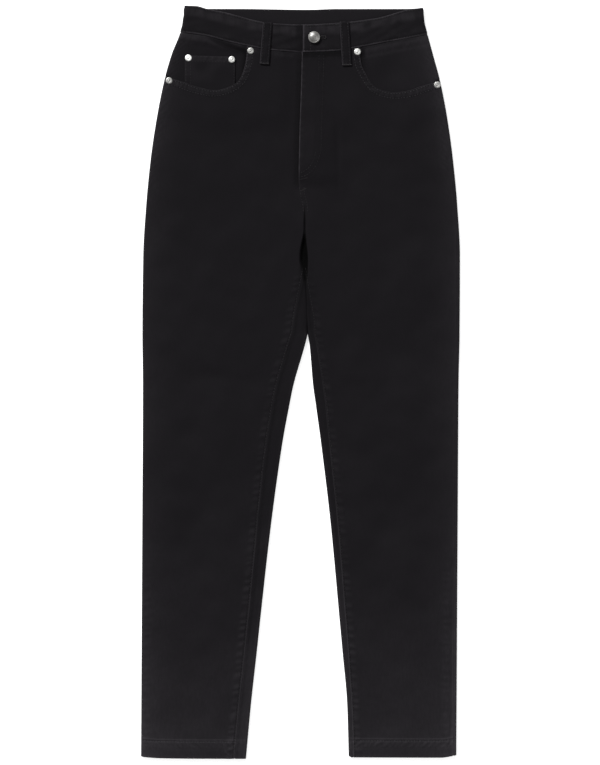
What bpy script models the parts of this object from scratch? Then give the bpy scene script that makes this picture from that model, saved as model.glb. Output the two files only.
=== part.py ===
"""Slim fit five-pocket jeans, laid flat on a surface with the front up.

Metres, +Z up. +Y runs from the hems to the waist, and +X to the wearer's left. The origin
is on the surface, under the middle of the garment.

Each half of the garment is a flattened ring of cloth: along the floor, round the side fold,
over the top, and round the inner fold of the leg. A place on the ring is its arc from the
side fold, positive over the top and negative along the floor. A panel is the part of the
ring between two seams, and a wall under its outer points gives it its thickness.
"""

import bmesh
import bpy
import numpy as np


def table(names, *rows):
    """Named columns, sorted by the first one."""
    return dict(zip(names.split(), np.array(sorted(rows), float).T))


# Cloth and gaps
SEAM_GAP = 0.0003  # between pieces at a seam, and between one layer and the next
BAND_GAP = 0.0006  # between the waistband and what it is sewn to
INSEAM_GAP = 0.0006
DENIM = 0.0016  # wall of a panel
POCKET_CLOTH = 0.0010  # wall of a facing and of the coin pocket
BAND_CLOTH = 0.0024  # folded waistband
PATCH = 0.0010  # back pockets and back belt loops, pressed flat under the garment
LOOP_CLOTH = 0.0016  # front belt loops

# Heights above the surface
LEG_TOP = 0.0057  # top of a leg that lies flat
PANEL_LIFT = 0.0019  # how far one front layer rises to pass over another
SEAT_RISE = PATCH + SEAM_GAP  # the back panels lie on the back pockets
BAND_TOP = 0.0080
UNDERLAP_TOP = 0.0053
SIDE_ROLL = 0.00285  # radius of the side folds seen in plan
BAND_ROLL = 0.0040
CROTCH_ROLL = 0.0030  # how much wider the inner folds roll at the crotch
HEM_RISE = 0.0005
HEM_DEPTH = 0.0240

# Heights up the garment
LEGS_PART = 0.0657  # where the legs stop touching
CROTCH = 0.160
VALLEY_TOP = 0.2275  # the dip between the thighs starts here
FLY_END = 0.262
FLY_UNDERLAP = 0.012
SEAT_END = 0.200
FACING_DROP = 0.030  # how far a facing runs on below the end of its pocket opening
FACING_LAP = 0.012  # and past its inner end
FACING_INSET = 0.0026  # it stays inside the front panel's side fold
FACING_SIDE_RISE = 0.0009  # the right facing, lower than the left, rises to its side fold
BAND_UNDERLAP = 0.040

# How the grids are laid out
KEPT_ROWS = 0.375  # rows above this height stretch to meet a panel's top edge
INNER_COLUMNS = 0.0090  # width of the closer columns beside an inner edge
SIDE_COLUMNS = 0.014  # and of a facing's columns beside its side fold
FRONT_COLUMNS = (4, 9, 4)  # equal parts between the knots across each panel
BACK_COLUMNS = (5, 7, 5, 1)
FACING_COLUMNS = (4, 3, 6)
FITTING_ROUNDS = 4

SIDE_FOLDS = table(
    "y right left",
    (0.5118, -0.1579, 0.1669),
    (0.4927, -0.1599, 0.1681),
    (0.4750, -0.1637, 0.1722),
    (0.4451, -0.1754, 0.1802),
    (0.4111, -0.1850, 0.1894),
    (0.3622, -0.1949, 0.1990),
    (0.3050, -0.2035, 0.2070),
    (0.2411, -0.2098, 0.2131),
    (0.1718, -0.2139, 0.2168),
    (0.0657, -0.2150, 0.2163),
    (-0.0037, -0.2143, 0.2149),
    (-0.1941, -0.2152, 0.2137),
    (-0.5118, -0.2169, 0.2118),
)
CENTRE_LINE = table(
    "y x",
    (0.5118, 0.0040),
    (0.4111, 0.0018),
    (0.3295, -0.0009),
    (0.2640, -0.0018),
    (0.2343, 0.0030),
    (0.1636, 0.0050),
    (0.1323, 0.0072),
    (LEGS_PART, 0.0097),
)
INNER_FOLDS = table(
    "y right left",
    (LEGS_PART, 0.0097, 0.0097),
    (0.0507, 0.0061, 0.0123),
    (-0.0037, -0.0095, 0.0170),
    (-0.0309, -0.0151, 0.0208),
    (-0.0853, -0.0250, 0.0282),
    (-0.1941, -0.0401, 0.0411),
    (-0.3301, -0.0555, 0.0537),
    (-0.3650, -0.0592, 0.0569),
    (-0.4389, -0.0674, 0.0634),
    (-0.5118, -0.0741, 0.0655),
)
# How far each inseam lies over the top from the inner fold: the back panel shows there.
INSEAM = table(
    "y right left",
    (CROTCH, 0.0, 0.0),
    (0.1300, 0.0085, 0.0027),
    (0.0800, 0.0200, 0.0092),
    (0.0480, 0.0242, 0.0109),
    (-0.0130, 0.0243, 0.0148),
    (-0.0744, 0.0230, 0.0127),
    (-0.1397, 0.0212, 0.0117),
    (-0.2852, 0.0180, 0.0100),
    (-0.3600, 0.0176, 0.0092),
    (-0.4117, 0.0173, 0.0077),
    (-0.5118, 0.0175, 0.0079),
)
# Where each outseam lies on the ring: at the side fold, or over the top from it.
OUTSEAM = table(
    "y right left",
    (0.5118, -0.0009, -0.0009),
    (0.4000, -0.0009, -0.0009),
    (0.2800, -0.0009, 0.0060),
    (-0.5118, -0.0009, 0.0062),
)
BAND_SEAM_FRONT = table(
    "x y",
    (-0.1637, 0.4752),
    (-0.1312, 0.4714),
    (-0.1040, 0.4638),
    (-0.0768, 0.4575),
    (-0.0374, 0.4506),
    (0.0034, 0.4481),
    (0.0510, 0.4498),
    (0.0823, 0.4552),
    (0.1190, 0.4623),
    (0.1722, 0.4723),
)
BAND_TOP_FRONT = table(
    "x y",
    (-0.1579, 0.5118),
    (-0.1435, 0.5112),
    (-0.1272, 0.5071),
    (-0.1020, 0.5025),
    (-0.0660, 0.4929),
    (-0.0382, 0.4877),
    (0.0034, 0.4863),
    (0.0510, 0.4885),
    (0.1040, 0.4949),
    (0.1448, 0.5056),
    (0.1669, 0.5088),
)
BAND_SEAM_BACK = table("x y", (-0.1637, 0.4752), (0.0040, 0.4695), (0.1722, 0.4723))
BAND_TOP_BACK = table(
    "x y",
    (-0.1579, 0.5118),
    (-0.1272, 0.5077),
    (-0.0800, 0.5077),
    (0.0100, 0.5066),
    (0.0500, 0.5077),
    (0.1448, 0.5077),
    (0.1669, 0.5088),
)
YOKE_SEAM = table("x y", (-0.1760, 0.4400), (0.0030, 0.4050), (0.1810, 0.4400))
HEM_EDGE = table(
    "x y",
    (-0.2169, -0.5088),
    (-0.2047, -0.5101),
    (-0.1900, -0.5110),
    (-0.1435, -0.5116),
    (-0.0745, -0.5118),
    (0.0660, -0.5086),
    (0.0700, -0.5098),
    (0.1897, -0.5102),
    (0.2118, -0.5071),
)

# Pocket mouths, from the waistband round to the side fold
POCKET_MOUTH = {
    "right": (
        (-0.0728, 0.4800), (-0.0734, 0.4424), (-0.0798, 0.4172), (-0.0904, 0.4047),
        (-0.1145, 0.3970), (-0.1421, 0.4019), (-0.1673, 0.4103), (-0.2000, 0.4176),
    ),
    "left": (
        (0.0798, 0.4800), (0.0814, 0.4402), (0.0868, 0.4226), (0.1008, 0.4019),
        (0.1230, 0.3942), (0.1480, 0.3967), (0.1628, 0.4019), (0.2050, 0.4136),
    ),
}
POCKET_END = {"right": 0.4140, "left": 0.4094}  # where a mouth meets its side fold
FACING_TOP = {"right": 0.0043, "left": 0.0057}
COIN_POCKET = {"left": -0.1575, "right": -0.0886, "top": 0.4446, "bottom": 0.3870}

# The soft troughs that cross the legs: both ends of each, its half width and its depth.
TROUGHS = table(
    "x0 y0 x1 y1 half_width depth",
    (-0.1408, 0.0113, -0.0524, -0.0010, 0.011, 0.0009),
    (-0.1285, 0.1230, -0.0496, 0.1120, 0.012, 0.0005),
    (0.0564, -0.0023, 0.0959, -0.0010, 0.010, 0.0005),
)

# Stations up the garment: the rows of every long panel
LEG_STATIONS = (
    -0.5118, -0.4890, -0.4860, -0.4300, -0.3600, -0.2900, -0.2200, -0.1500, -0.0850, -0.0400,
    -0.0130, 0.0040, 0.0200, 0.0450, 0.0600, LEGS_PART, 0.0900, 0.1150, 0.1400, CROTCH, 0.1720,
    0.1880, 0.2060, VALLEY_TOP,
)
FRONT_STATIONS = LEG_STATIONS + (FLY_END, 0.2850, 0.3050, 0.3350, 0.3750, 0.4100, 0.4400, 0.4752)
BACK_STATIONS = LEG_STATIONS + (FLY_END, 0.2850, 0.3050, 0.3350, 0.3750, 0.4100, 0.4400)

BAND_ENDS = (-0.1610, 0.1700)  # the side folds' x halfway up the waistband
BAND_RIGHT_COLUMNS = (
    0.026, 0.015, 0.004, -0.004, -0.011, -0.018, -0.026, -0.035, -0.045, -0.055, -0.066, -0.075,
    -0.084, -0.093, -0.102, -0.1145, -0.127, -0.144,
)
BAND_LEFT_COLUMNS = (
    0.155, 0.135, 0.127, 0.119, 0.111, 0.104, 0.097, 0.089, 0.082, 0.075, 0.063, 0.051, 0.040,
    0.030, 0.021, 0.012,
)
BAND_BACK_COLUMNS = (-0.150, -0.127, -0.110, -0.060, -0.040, -0.020, 0.025, 0.045, 0.065, 0.118, 0.145)

BELT_LOOP_WIDTH = 0.013
FRONT_LOOPS = {  # the middle of each loop at its top and its foot
    "belt_loop_front_right": ((-0.0447, 0.4878), (-0.0490, 0.4325)),
    "belt_loop_front_left": ((0.0597, 0.4886), (0.0631, 0.4307)),
}
BACK_LOOPS = {  # the middle of each loop
    "belt_loop_back_right": -0.0850,
    "belt_loop_centre_back": 0.0040,
    "belt_loop_back_left": 0.0930,
}
BACK_LOOP_FOOT = 0.4500
BACK_LOOP_TOP = 0.5048

SEAT_MIDDLE = 0.003  # x of the centre back seam
BACK_POCKET = {  # measured from the centre back seam, and up the garment
    "inner": 0.042, "outer": 0.176, "inner_foot": 0.052, "outer_foot": 0.163,
    "top_inner": 0.3900, "top_outer": 0.3990, "foot": 0.2620, "point": 0.2440,
}

BUTTON_AT = (0.0184, 0.4686)
BUTTON_RADIUS = 0.0081
RIVET_RADIUS = 0.0046
COIN_TOP = FACING_TOP["right"] + SEAM_GAP + POCKET_CLOTH
FRONT_LIFTED = LEG_TOP + PANEL_LIFT
# Each rivet: its place and the top of the cloth under it
RIVETS = {
    "rivet_coin_outer": (-0.1523, 0.4408, COIN_TOP),
    "rivet_coin_inner": (-0.0935, 0.4386, COIN_TOP),
    "rivet_right_top": (-0.0678, 0.4503, FRONT_LIFTED),
    "rivet_right_side": (-0.1785, 0.4098, FRONT_LIFTED),
    "rivet_left_top": (0.0773, 0.4490, FRONT_LIFTED),
    "rivet_left_side": (0.1857, 0.4040, FRONT_LIFTED),
}

BLACK_DENIM = ("black_denim", (0.013, 0.012, 0.014), 0.85, 0.0)
SILVER = ("brushed_silver", (0.55, 0.54, 0.52), 0.35, 1.0)


def smooth(rows, column, at, key="y"):
    """Monotone cubic through one column of a table: no overshoot between its rows."""
    places, values = rows[key], rows[column]
    steps = np.diff(places)
    slopes = np.diff(values) / steps
    rates = np.empty_like(values)
    rates[0], rates[-1] = slopes[0], slopes[-1]
    before, after = slopes[:-1], slopes[1:]
    agree = before * after > 0
    weight_before = steps[:-1] + 2 * steps[1:]
    weight_after = 2 * steps[:-1] + steps[1:]
    with np.errstate(divide="ignore", invalid="ignore"):
        mean = (weight_before + weight_after) / (weight_before / after + weight_after / before)
    rates[1:-1] = np.where(agree, mean, 0.0)
    at = np.clip(at, places[0], places[-1])
    low = np.clip(np.searchsorted(places, at) - 1, 0, len(steps) - 1)
    step = steps[low]
    t = (at - places[low]) / step
    return (
        values[low] * (1 + 2 * t) * (1 - t) ** 2
        + rates[low] * step * t * (1 - t) ** 2
        + values[low + 1] * t * t * (3 - 2 * t)
        + rates[low + 1] * step * t * t * (t - 1)
    )


def ease(at, start, end):
    """0 before start, 1 after end, and a smooth S between them."""
    t = np.clip((at - start) / (end - start), 0, 1)
    return t * t * (3 - 2 * t)


def curve_through(points, steps):
    """A smooth open curve through points in plan, with this many steps in each span."""
    points = np.array(points, float)
    ends = np.vstack([2 * points[0] - points[1], points, 2 * points[-1] - points[-2]])
    t = np.linspace(0, 1, steps, endpoint=False)[None, :, None]
    p0, p1, p2, p3 = (ends[i : len(points) - 1 + i, None, :] for i in range(4))
    spans = 0.5 * (
        2 * p1 + (p2 - p0) * t + (2 * p0 - 5 * p1 + 4 * p2 - p3) * t**2
        + (3 * p1 - p0 - 3 * p2 + p3) * t**3
    )
    return np.vstack([spans.reshape(-1, 2), points[-1:]])


def inner_fold(side, y):
    """The inner fold of one leg, or the centre line where the halves touch."""
    centre = smooth(CENTRE_LINE, "x", y)
    leg = smooth(INNER_FOLDS, side, y)
    return np.where(y >= LEGS_PART, centre, leg) + (0.5 if side == "left" else -0.5) * SEAM_GAP


def floor_level(y):
    """The back panels rise over the back pockets, and lie on the floor below them."""
    return SEAT_RISE * ease(y, SEAT_END, SEAT_END + 0.032)


def inner_closure(y):
    """0 where top and floor stay apart at the centre line, 1 where they join in a fold."""
    return 1 - ease(y, CROTCH, VALLEY_TOP)


def inner_roll(y):
    return SIDE_ROLL + CROTCH_ROLL * ease(y, 0.090, CROTCH)


def arc_length(side, y, extra=0.0):
    """Arc from the side fold to the inner fold, one way round the half ring."""
    width = np.abs(smooth(SIDE_FOLDS, side, y) - inner_fold(side, y)) + extra
    return width + (np.pi / 2 - 1) * (SIDE_ROLL + inner_roll(y))


def trough_depth(x, y):
    """Depth of the soft troughs: a bell across each one, fading out at its ends."""
    depth = np.zeros_like(x)
    for x0, y0, x1, y1, half_width, deep in zip(*TROUGHS.values()):
        along = np.array((x1 - x0, y1 - y0))
        t = ((x - x0) * along[0] + (y - y0) * along[1]) / (along @ along)
        away = np.hypot(x - x0 - t * along[0], y - y0 - t * along[1])
        ends = ease(t, -0.15, 0.25) * (1 - ease(t, 0.75, 1.15))
        depth += deep * ends * np.exp(-((away / half_width) ** 2))
    return depth


def ring(side, y, arc, top, extra=0.0):
    """Outer point and outward direction at an arc of the half ring at height y.

    The side fold and the inner fold are quarter rounds above and below the middle height,
    and the stretch between them is level. Past the inner fold the arc comes back on the
    other face. extra widens the half past the centre line.
    """
    outward = 1 if side == "left" else -1
    side_fold = smooth(SIDE_FOLDS, side, y)
    roll = inner_roll(y)
    length = arc_length(side, y, extra)
    side_arc, inner_arc = np.pi / 2 * SIDE_ROLL, np.pi / 2 * roll
    past = np.abs(arc) > length
    face = np.where(arc >= 0, 1, -1) * np.where(past, -1, 1)
    run = np.where(past, 2 * length - np.abs(arc), np.abs(arc))
    side_angle = np.clip(run / side_arc, 0, 1) * np.pi / 2
    inner_angle = np.clip((length - run) / inner_arc, 0, 1) * np.pi / 2
    level_run = np.clip(run - side_arc, 0, length - side_arc - inner_arc)
    inward = SIDE_ROLL * (1 - np.cos(side_angle)) + level_run + roll * np.cos(inner_angle)
    closure = inner_closure(y)
    rise = np.sin(side_angle) * (1 - closure * (1 - np.sin(inner_angle)))
    low = floor_level(y)
    middle = (low + LEG_TOP) / 2
    z = middle + rise * np.where(face > 0, top - middle, low - middle)
    x = side_fold - outward * inward
    across = outward * (np.cos(side_angle) - closure * np.cos(inner_angle))
    up = face * rise
    size = np.hypot(across, up)
    return np.stack([x, y, z], -1), np.stack([across / size, 0 * y, up / size], -1)


def hem_thickening(y):
    return HEM_RISE * (1 - ease(y, HEM_EDGE["y"].min() + 0.0215, HEM_EDGE["y"].min() + HEM_DEPTH))


def front_top(side, x, y):
    """Top of a front: lifted over the pocket facings, and the left one over the right."""
    centre = smooth(CENTRE_LINE, "x", y)
    over_pockets = ease(y, 0.335, 0.375)
    if side == "right":
        lift = over_pockets * (1 - ease(x, centre - 0.032, centre - 0.006))
    else:
        over_fly = ease(y, FLY_END, 0.285) * (1 - ease(x, centre + 0.030, centre + 0.070))
        lift = np.maximum(over_pockets, over_fly)
    return LEG_TOP + PANEL_LIFT * lift + hem_thickening(y) - trough_depth(x, y)


def arcs_between(knots, parts):
    """Arcs across a panel: each stretch from one knot to the next in so many equal parts.

    Every knot is a grid of arcs, worked out at the height of each place.
    """
    knots = np.stack(knots)
    stretch = np.concatenate([np.full(n, i) for i, n in enumerate(parts)] + [[len(parts) - 1]])
    share = np.concatenate([np.linspace(0, 1, n, endpoint=False) for n in parts] + [[1.0]])
    column = np.arange(len(share))
    low, high = knots[stretch, :, column].T, knots[stretch + 1, :, column].T
    return low + (high - low) * share


def stretch_rows(stations, fixed, edge_y, hem=None):
    """Heights of a panel's rows. Those past a fixed height stretch to meet the edge curve, and
    those of the hem to meet the hem's own edge."""
    nominal = np.array(stations, float)[:, None]
    stretched = fixed + (nominal - fixed) * (edge_y - fixed) / (nominal[-1] - fixed)
    rows = np.where(nominal > fixed, stretched, nominal)
    if hem is None:
        return rows
    hem_fixed = HEM_EDGE["y"].min() + HEM_DEPTH
    low = hem + (nominal - nominal[0]) * (hem_fixed - hem) / (hem_fixed - nominal[0])
    return np.where(nominal < hem_fixed, low, rows)


def fit_grid(side, stations, fixed, edge_at, arcs_at, top, lap=None, hem=True):
    """Heights and arcs of a panel. Its edges depend on x, and x on height and arc, so the
    rows are fitted in a few rounds."""
    lap = lap or (lambda y: 0.0 * y)
    count = arcs_at(np.array(stations, float)[:, None]).shape[1]
    rows = np.repeat(np.array(stations, float)[:, None], count, axis=1)
    for _ in range(FITTING_ROUNDS):
        x = ring(side, rows, arcs_at(rows), top, lap(rows))[0][..., 0]
        hem_y = smooth(HEM_EDGE, "y", x, key="x") if hem else None
        rows = stretch_rows(stations, fixed, edge_at(x), hem_y)
    return rows, arcs_at(rows)


def wall_object(name, outer, inner, finish):
    """A closed wall between two grids of points of the same shape."""
    rows, columns = outer.shape[:2]
    points = np.concatenate([outer.reshape(-1, 3), inner.reshape(-1, 3)])
    index = np.arange(rows * columns).reshape(rows, columns)
    corners = np.stack([index[:-1, :-1], index[:-1, 1:], index[1:, 1:], index[1:, :-1]], -1)
    top = corners.reshape(-1, 4)
    faces = [top, top[:, ::-1] + rows * columns]
    border = np.concatenate([index[0], index[1:, -1], index[-1, -2::-1], index[-2::-1, 0]])
    below = border + rows * columns
    rim = np.stack([border[:-1], below[:-1], below[1:], border[1:]], -1)
    faces.append(rim)
    return mesh_object(name, points, np.concatenate(faces).tolist(), finish)


def mesh_object(name, points, faces, finish):
    mesh = bpy.data.meshes.new(name)
    mesh.from_pydata(np.asarray(points).tolist(), [], faces)
    shape = bmesh.new()
    shape.from_mesh(mesh)
    bmesh.ops.recalc_face_normals(shape, faces=shape.faces)
    shape.to_mesh(mesh)
    shape.free()
    mesh.shade_smooth()
    mesh.set_sharp_from_angle(angle=np.radians(40))
    mesh.materials.append(material(*finish))
    thing = bpy.data.objects.new(name, mesh)
    bpy.context.scene.collection.objects.link(thing)
    return thing


def material(name, colour, roughness, metallic):
    found = bpy.data.materials.get(name)
    if found:
        return found
    made = bpy.data.materials.new(name)
    made.use_nodes = True
    shader = made.node_tree.nodes["Principled BSDF"]
    shader.inputs["Base Color"].default_value = (*colour, 1)
    shader.inputs["Roughness"].default_value = roughness
    shader.inputs["Metallic"].default_value = metallic
    return made


def prism(name, outline, low, high, finish, bevel=0.0):
    """An outline in plan, carried straight up from low to high."""
    outline = np.asarray(outline, float)
    count = len(outline)
    points = np.concatenate([np.c_[outline, np.full(count, z)] for z in (low, high)])
    ring_index = np.arange(count)
    after = np.roll(ring_index, -1)
    sides = np.stack([ring_index, after, after + count, ring_index + count], -1).tolist()
    faces = [ring_index[::-1].tolist(), (ring_index + count).tolist()] + sides
    made = mesh_object(name, points, faces, finish)
    if bevel:
        rounding = made.modifiers.new("rounded_edges", "BEVEL")
        rounding.width = bevel
        rounding.segments = 1
        rounding.limit_method = "ANGLE"
    return made


def turned(name, profile, sides, finish):
    """A profile of (radius, height) points turned about Z, closed at both ends on the axis."""
    profile = np.array(profile, float)
    turn = np.linspace(0, 2 * np.pi, sides, endpoint=False)
    rings = [
        np.stack([radius * np.cos(turn), radius * np.sin(turn), np.full(sides, height)], -1)
        for radius, height in profile[1:-1]
    ]
    points = np.concatenate(rings + [[(0, 0, profile[0, 1])], [(0, 0, profile[-1, 1])]])
    foot, crown = len(points) - 2, len(points) - 1
    around = np.arange(sides)
    after = np.roll(around, -1)
    faces = np.stack([after, around, np.full(sides, foot)], -1).tolist()
    for i in range(len(rings) - 1):
        low, high = i * sides, (i + 1) * sides
        faces += np.stack([low + around, low + after, high + after, high + around], -1).tolist()
    last = (len(rings) - 1) * sides
    faces += np.stack([last + around, last + after, np.full(sides, crown)], -1).tolist()
    return mesh_object(name, points, faces, finish)


def under_fly(side, y):
    """How far the right front runs on under the left one."""
    return FLY_UNDERLAP * ease(y, 0.286, 0.304) if side == "right" else 0.0 * y


def front_arcs(side, y):
    """Over the top, from the outseam to the inseam, or to the centre line above the crotch."""
    lap = under_fly(side, y)
    first = smooth(OUTSEAM, side, y) + SEAM_GAP / 2
    last = arc_length(side, y, lap) - smooth(INSEAM, side, y) - INSEAM_GAP / 2
    side_end = np.maximum(first, 0) + np.pi / 2 * SIDE_ROLL
    near_inner = last - INNER_COLUMNS - 2.2 * lap
    return arcs_between((first, side_end, near_inner, last), FRONT_COLUMNS)


def front_panel(side):
    """A front, with its pocket mouth cut away."""

    def top_edge(x):
        return smooth(BAND_SEAM_FRONT, "y", x, key="x") - BAND_GAP / 2

    rows, arc = fit_grid(
        side,
        FRONT_STATIONS,
        KEPT_ROWS,
        top_edge,
        lambda y: front_arcs(side, y * np.ones(sum(FRONT_COLUMNS) + 1)),
        LEG_TOP,
        lambda y: under_fly(side, y),
    )
    lap = under_fly(side, rows)
    x = ring(side, rows, arc, LEG_TOP, lap)[0][..., 0]
    outer, outward = ring(side, rows, arc, front_top(side, x, rows), lap)
    made = wall_object("front_" + side, outer, outer - DENIM * outward, BLACK_DENIM)
    mouth = curve_through(POCKET_MOUTH[side], 4)
    beyond = 0.24 if side == "left" else -0.24
    corners = [(beyond, mouth[-1, 1]), (beyond, 0.52), (mouth[0, 0], 0.52)]
    cutter = prism("pocket_cutter_" + side, np.vstack([mouth, corners]), -0.01, 0.02, BLACK_DENIM)
    cutter.hide_render = True
    cutter.display_type = "WIRE"
    cut = made.modifiers.new("pocket_mouth", "BOOLEAN")
    cut.operation = "DIFFERENCE"
    cut.object = cutter
    return made


def back_arcs(side, y, seam):
    """Round the side fold from the outseam, along the floor, and round the inner fold."""
    first = smooth(OUTSEAM, side, y) - SEAM_GAP / 2
    side_end = np.full_like(first, -np.pi / 2 * SIDE_ROLL)
    length = arc_length(side, y)
    fold = np.pi / 2 * inner_roll(y)
    last = -(length + seam - INSEAM_GAP / 2)
    strip = last + np.maximum(seam - fold, 0.0008)
    return arcs_between((first, side_end, -(length - fold), strip, last), BACK_COLUMNS)


def back_panel(side):
    """Along the floor from the outseam, round the inner fold and up to the inseam on top."""

    def top_edge(x):
        return smooth(YOKE_SEAM, "y", x, key="x") - SEAM_GAP / 2

    def arcs_at(y):
        y = y * np.ones(sum(BACK_COLUMNS) + 1)
        return back_arcs(side, y, smooth(INSEAM, side, y))

    rows, arc = fit_grid(side, BACK_STATIONS, KEPT_ROWS, top_edge, arcs_at, LEG_TOP)
    outer, outward = ring(side, rows, arc, LEG_TOP + hem_thickening(rows))
    return wall_object("back_" + side, outer, outer - DENIM * outward, BLACK_DENIM)


def yoke(side):
    """Between the back panel and the waistband, round the side fold to the outseam."""
    rows = np.repeat(np.array((0.4200, 0.4475, 0.4750))[:, None], sum(BACK_COLUMNS) + 1, axis=1)
    for _ in range(FITTING_ROUNDS):
        arc = back_arcs(side, rows, 0.0 * rows)
        x = ring(side, rows, arc, LEG_TOP)[0][..., 0]
        low = smooth(YOKE_SEAM, "y", x, key="x") + SEAM_GAP / 2
        high = smooth(BAND_SEAM_BACK, "y", x, key="x") - BAND_GAP
        rows = low + (high - low) * np.linspace(0, 1, 3)[:, None]
    outer, outward = ring(side, rows, back_arcs(side, rows, 0.0 * rows), LEG_TOP)
    return wall_object("yoke_" + side, outer, outer - DENIM * outward, BLACK_DENIM)


def pocket_facing(side):
    """The hip piece under the pocket mouth. Under the front it stays inside the side fold."""
    outward = 1 if side == "left" else -1
    end = POCKET_END[side]
    stations = (end - FACING_DROP, end - 0.014, end + 0.0008, end + 0.0038, 0.4350, 0.4550, 0.4752)
    inner_x = POCKET_MOUTH[side][1][0] - outward * FACING_LAP
    side_end = np.pi / 2 * SIDE_ROLL

    def inset_at(y):
        return FACING_INSET * (1 - ease(y, end + 0.0009, end + 0.0037))

    def arcs_at(y):
        y = y * np.ones(sum(FACING_COLUMNS) + 1)
        width = np.abs(smooth(SIDE_FOLDS, side, y) - inner_x)
        last = side_end + width - SIDE_ROLL - inset_at(y)
        knots = (0.0 * y + SEAM_GAP, 0.0 * y + side_end, 0.0 * y + side_end + SIDE_COLUMNS, last)
        return arcs_between(knots, FACING_COLUMNS)

    def top_edge(x):
        return smooth(BAND_SEAM_FRONT, "y", x, key="x") - BAND_GAP

    rows, arc = fit_grid(side, stations, 0.4350, top_edge, arcs_at, FACING_TOP[side], hem=False)
    inward = arc - side_end
    rise = FACING_SIDE_RISE * (1 - ease(inward, 0.002, SIDE_COLUMNS)) * (side == "right")
    outer, out = ring(side, rows, arc, FACING_TOP[side] + rise)
    outer[..., 0] -= outward * inset_at(rows)
    return wall_object("pocket_facing_" + side, outer, outer - POCKET_CLOTH * out, BLACK_DENIM)


def coin_pocket():
    """A small patch on the right facing. Its foot is hidden under the front."""
    left, right, top, bottom = (COIN_POCKET[key] for key in ("left", "right", "top", "bottom"))
    low = FACING_TOP["right"] + SEAM_GAP
    outline = [(left, bottom), (right, bottom), (right, top - 0.0008), (left, top)]
    return prism("coin_pocket", outline, low, low + POCKET_CLOTH, BLACK_DENIM)


def band_columns():
    """The waistband's columns: the place of each across the garment, its angle round a side
    fold, its face (1 front, -1 back) and its half (-1 right, 1 left)."""
    centre = float(smooth(CENTRE_LINE, "x", np.array(0.49)))
    right_front = [centre + BAND_UNDERLAP, *BAND_RIGHT_COLUMNS]
    left_front = [*BAND_LEFT_COLUMNS, centre + SEAM_GAP]
    recess = 0.5 * BELT_LOOP_WIDTH + SEAM_GAP
    back = list(BAND_BACK_COLUMNS)
    for middle in BACK_LOOPS.values():
        back += [middle - recess - 0.001, middle - recess, middle + recess, middle + recess + 0.001]
    back.sort()
    fold = (67.5, 45.0, 22.5, 0.0, 22.5, 45.0, 67.5)
    fold_face = (1, 1, 1, 1, -1, -1, -1)
    back_right, back_left = back[: len(back) // 2], back[len(back) // 2 :]
    sections = (  # places, angles in degrees, faces, half
        (right_front, 90.0, 1, -1),
        ([BAND_ENDS[0]] * len(fold), fold, fold_face, -1),
        (back_right, 90.0, -1, -1),
        (back_left, 90.0, -1, 1),
        ([BAND_ENDS[1]] * len(fold), fold, [-face for face in fold_face], 1),
        (left_front, 90.0, 1, 1),
    )
    place, angle, face, half = (
        np.concatenate([np.ones(len(part[0])) * part[i] for part in sections]) for i in range(4)
    )
    return place, np.radians(angle), face, half


def waistband():
    """One strip from the underlap, round the right side, the back and the left side.

    The right end sinks below the left end, which laps over it at the centre front, and the
    back is recessed over the back belt loops.
    """
    place, angle, face, half = band_columns()
    centre = smooth(CENTRE_LINE, "x", np.array(0.49))
    seam_back = smooth(BAND_SEAM_BACK, "y", place, "x")
    top_back = smooth(BAND_TOP_BACK, "y", place, "x")
    seam = np.where(face > 0, smooth(BAND_SEAM_FRONT, "y", place, "x"), seam_back) + BAND_GAP / 2
    edge = np.where(face > 0, smooth(BAND_TOP_FRONT, "y", place, "x"), top_back)
    y = seam + (edge - seam) * np.linspace(0, 1, 3)[:, None]
    right_fold, left_fold = smooth(SIDE_FOLDS, "right", y), smooth(SIDE_FOLDS, "left", y)
    share = (place - BAND_ENDS[0]) / (BAND_ENDS[1] - BAND_ENDS[0])
    scaled = right_fold + share * (left_fold - right_fold)
    level_x = place + (scaled - place) * ease(np.abs(place), 0.105, 0.150)
    in_fold = BAND_ROLL * (1 - np.cos(angle))
    fold_x = np.where(half < 0, right_fold + in_fold, left_fold - in_fold)
    at_fold = angle < np.pi / 2 - 0.01
    x = np.where(at_fold, fold_x, level_x)
    sink = (BAND_TOP - UNDERLAP_TOP) * ease(place, centre - 0.028, centre - 0.003) * (half < 0)
    over_loop = np.zeros_like(place)
    for loop in BACK_LOOPS.values():
        over_loop += np.abs(place - loop) < 0.5 * BELT_LOOP_WIDTH + SEAM_GAP + 0.0001
    middle, rise = BAND_TOP / 2, np.sin(angle)
    top_z = middle + (BAND_TOP - sink - middle) * rise
    recessed = middle + ((PATCH + SEAM_GAP) * over_loop - middle) * rise
    z = np.where(face > 0, top_z, recessed)
    plain_z = np.where(face > 0, top_z, middle - middle * rise)
    outer = np.stack([x, y, z + 0 * y], -1)
    plain = np.stack([x, y, plain_z + 0 * y], -1)
    outward = np.stack([half * np.cos(angle) * at_fold + 0 * y, 0 * y, face * rise + 0 * y], -1)
    return wall_object("waistband", outer, plain - BAND_CLOTH * outward, BLACK_DENIM)


def front_loop(name, top, foot):
    """A strip on the waistband, whose foot steps down onto the front."""
    seam = smooth(BAND_SEAM_FRONT, "y", np.array((top[0] + foot[0]) / 2), key="x")
    step = (top[1] - seam + 0.001) / (top[1] - foot[1])
    t = np.array((0.0, step / 2, step, step + 0.1, 1.0))
    middle_x = top[0] + (foot[0] - top[0]) * t
    middle_y = top[1] + (foot[1] - top[1]) * t
    under = np.array((BAND_TOP,) * 3 + (LEG_TOP + PANEL_LIFT,) * 2) + SEAM_GAP
    half = 0.5 * BELT_LOOP_WIDTH
    low = np.stack([np.stack([middle_x + s * half, middle_y, under], -1) for s in (-1, 1)], 1)
    return wall_object(name, low + (0, 0, LOOP_CLOTH), low, BLACK_DENIM)


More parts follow.
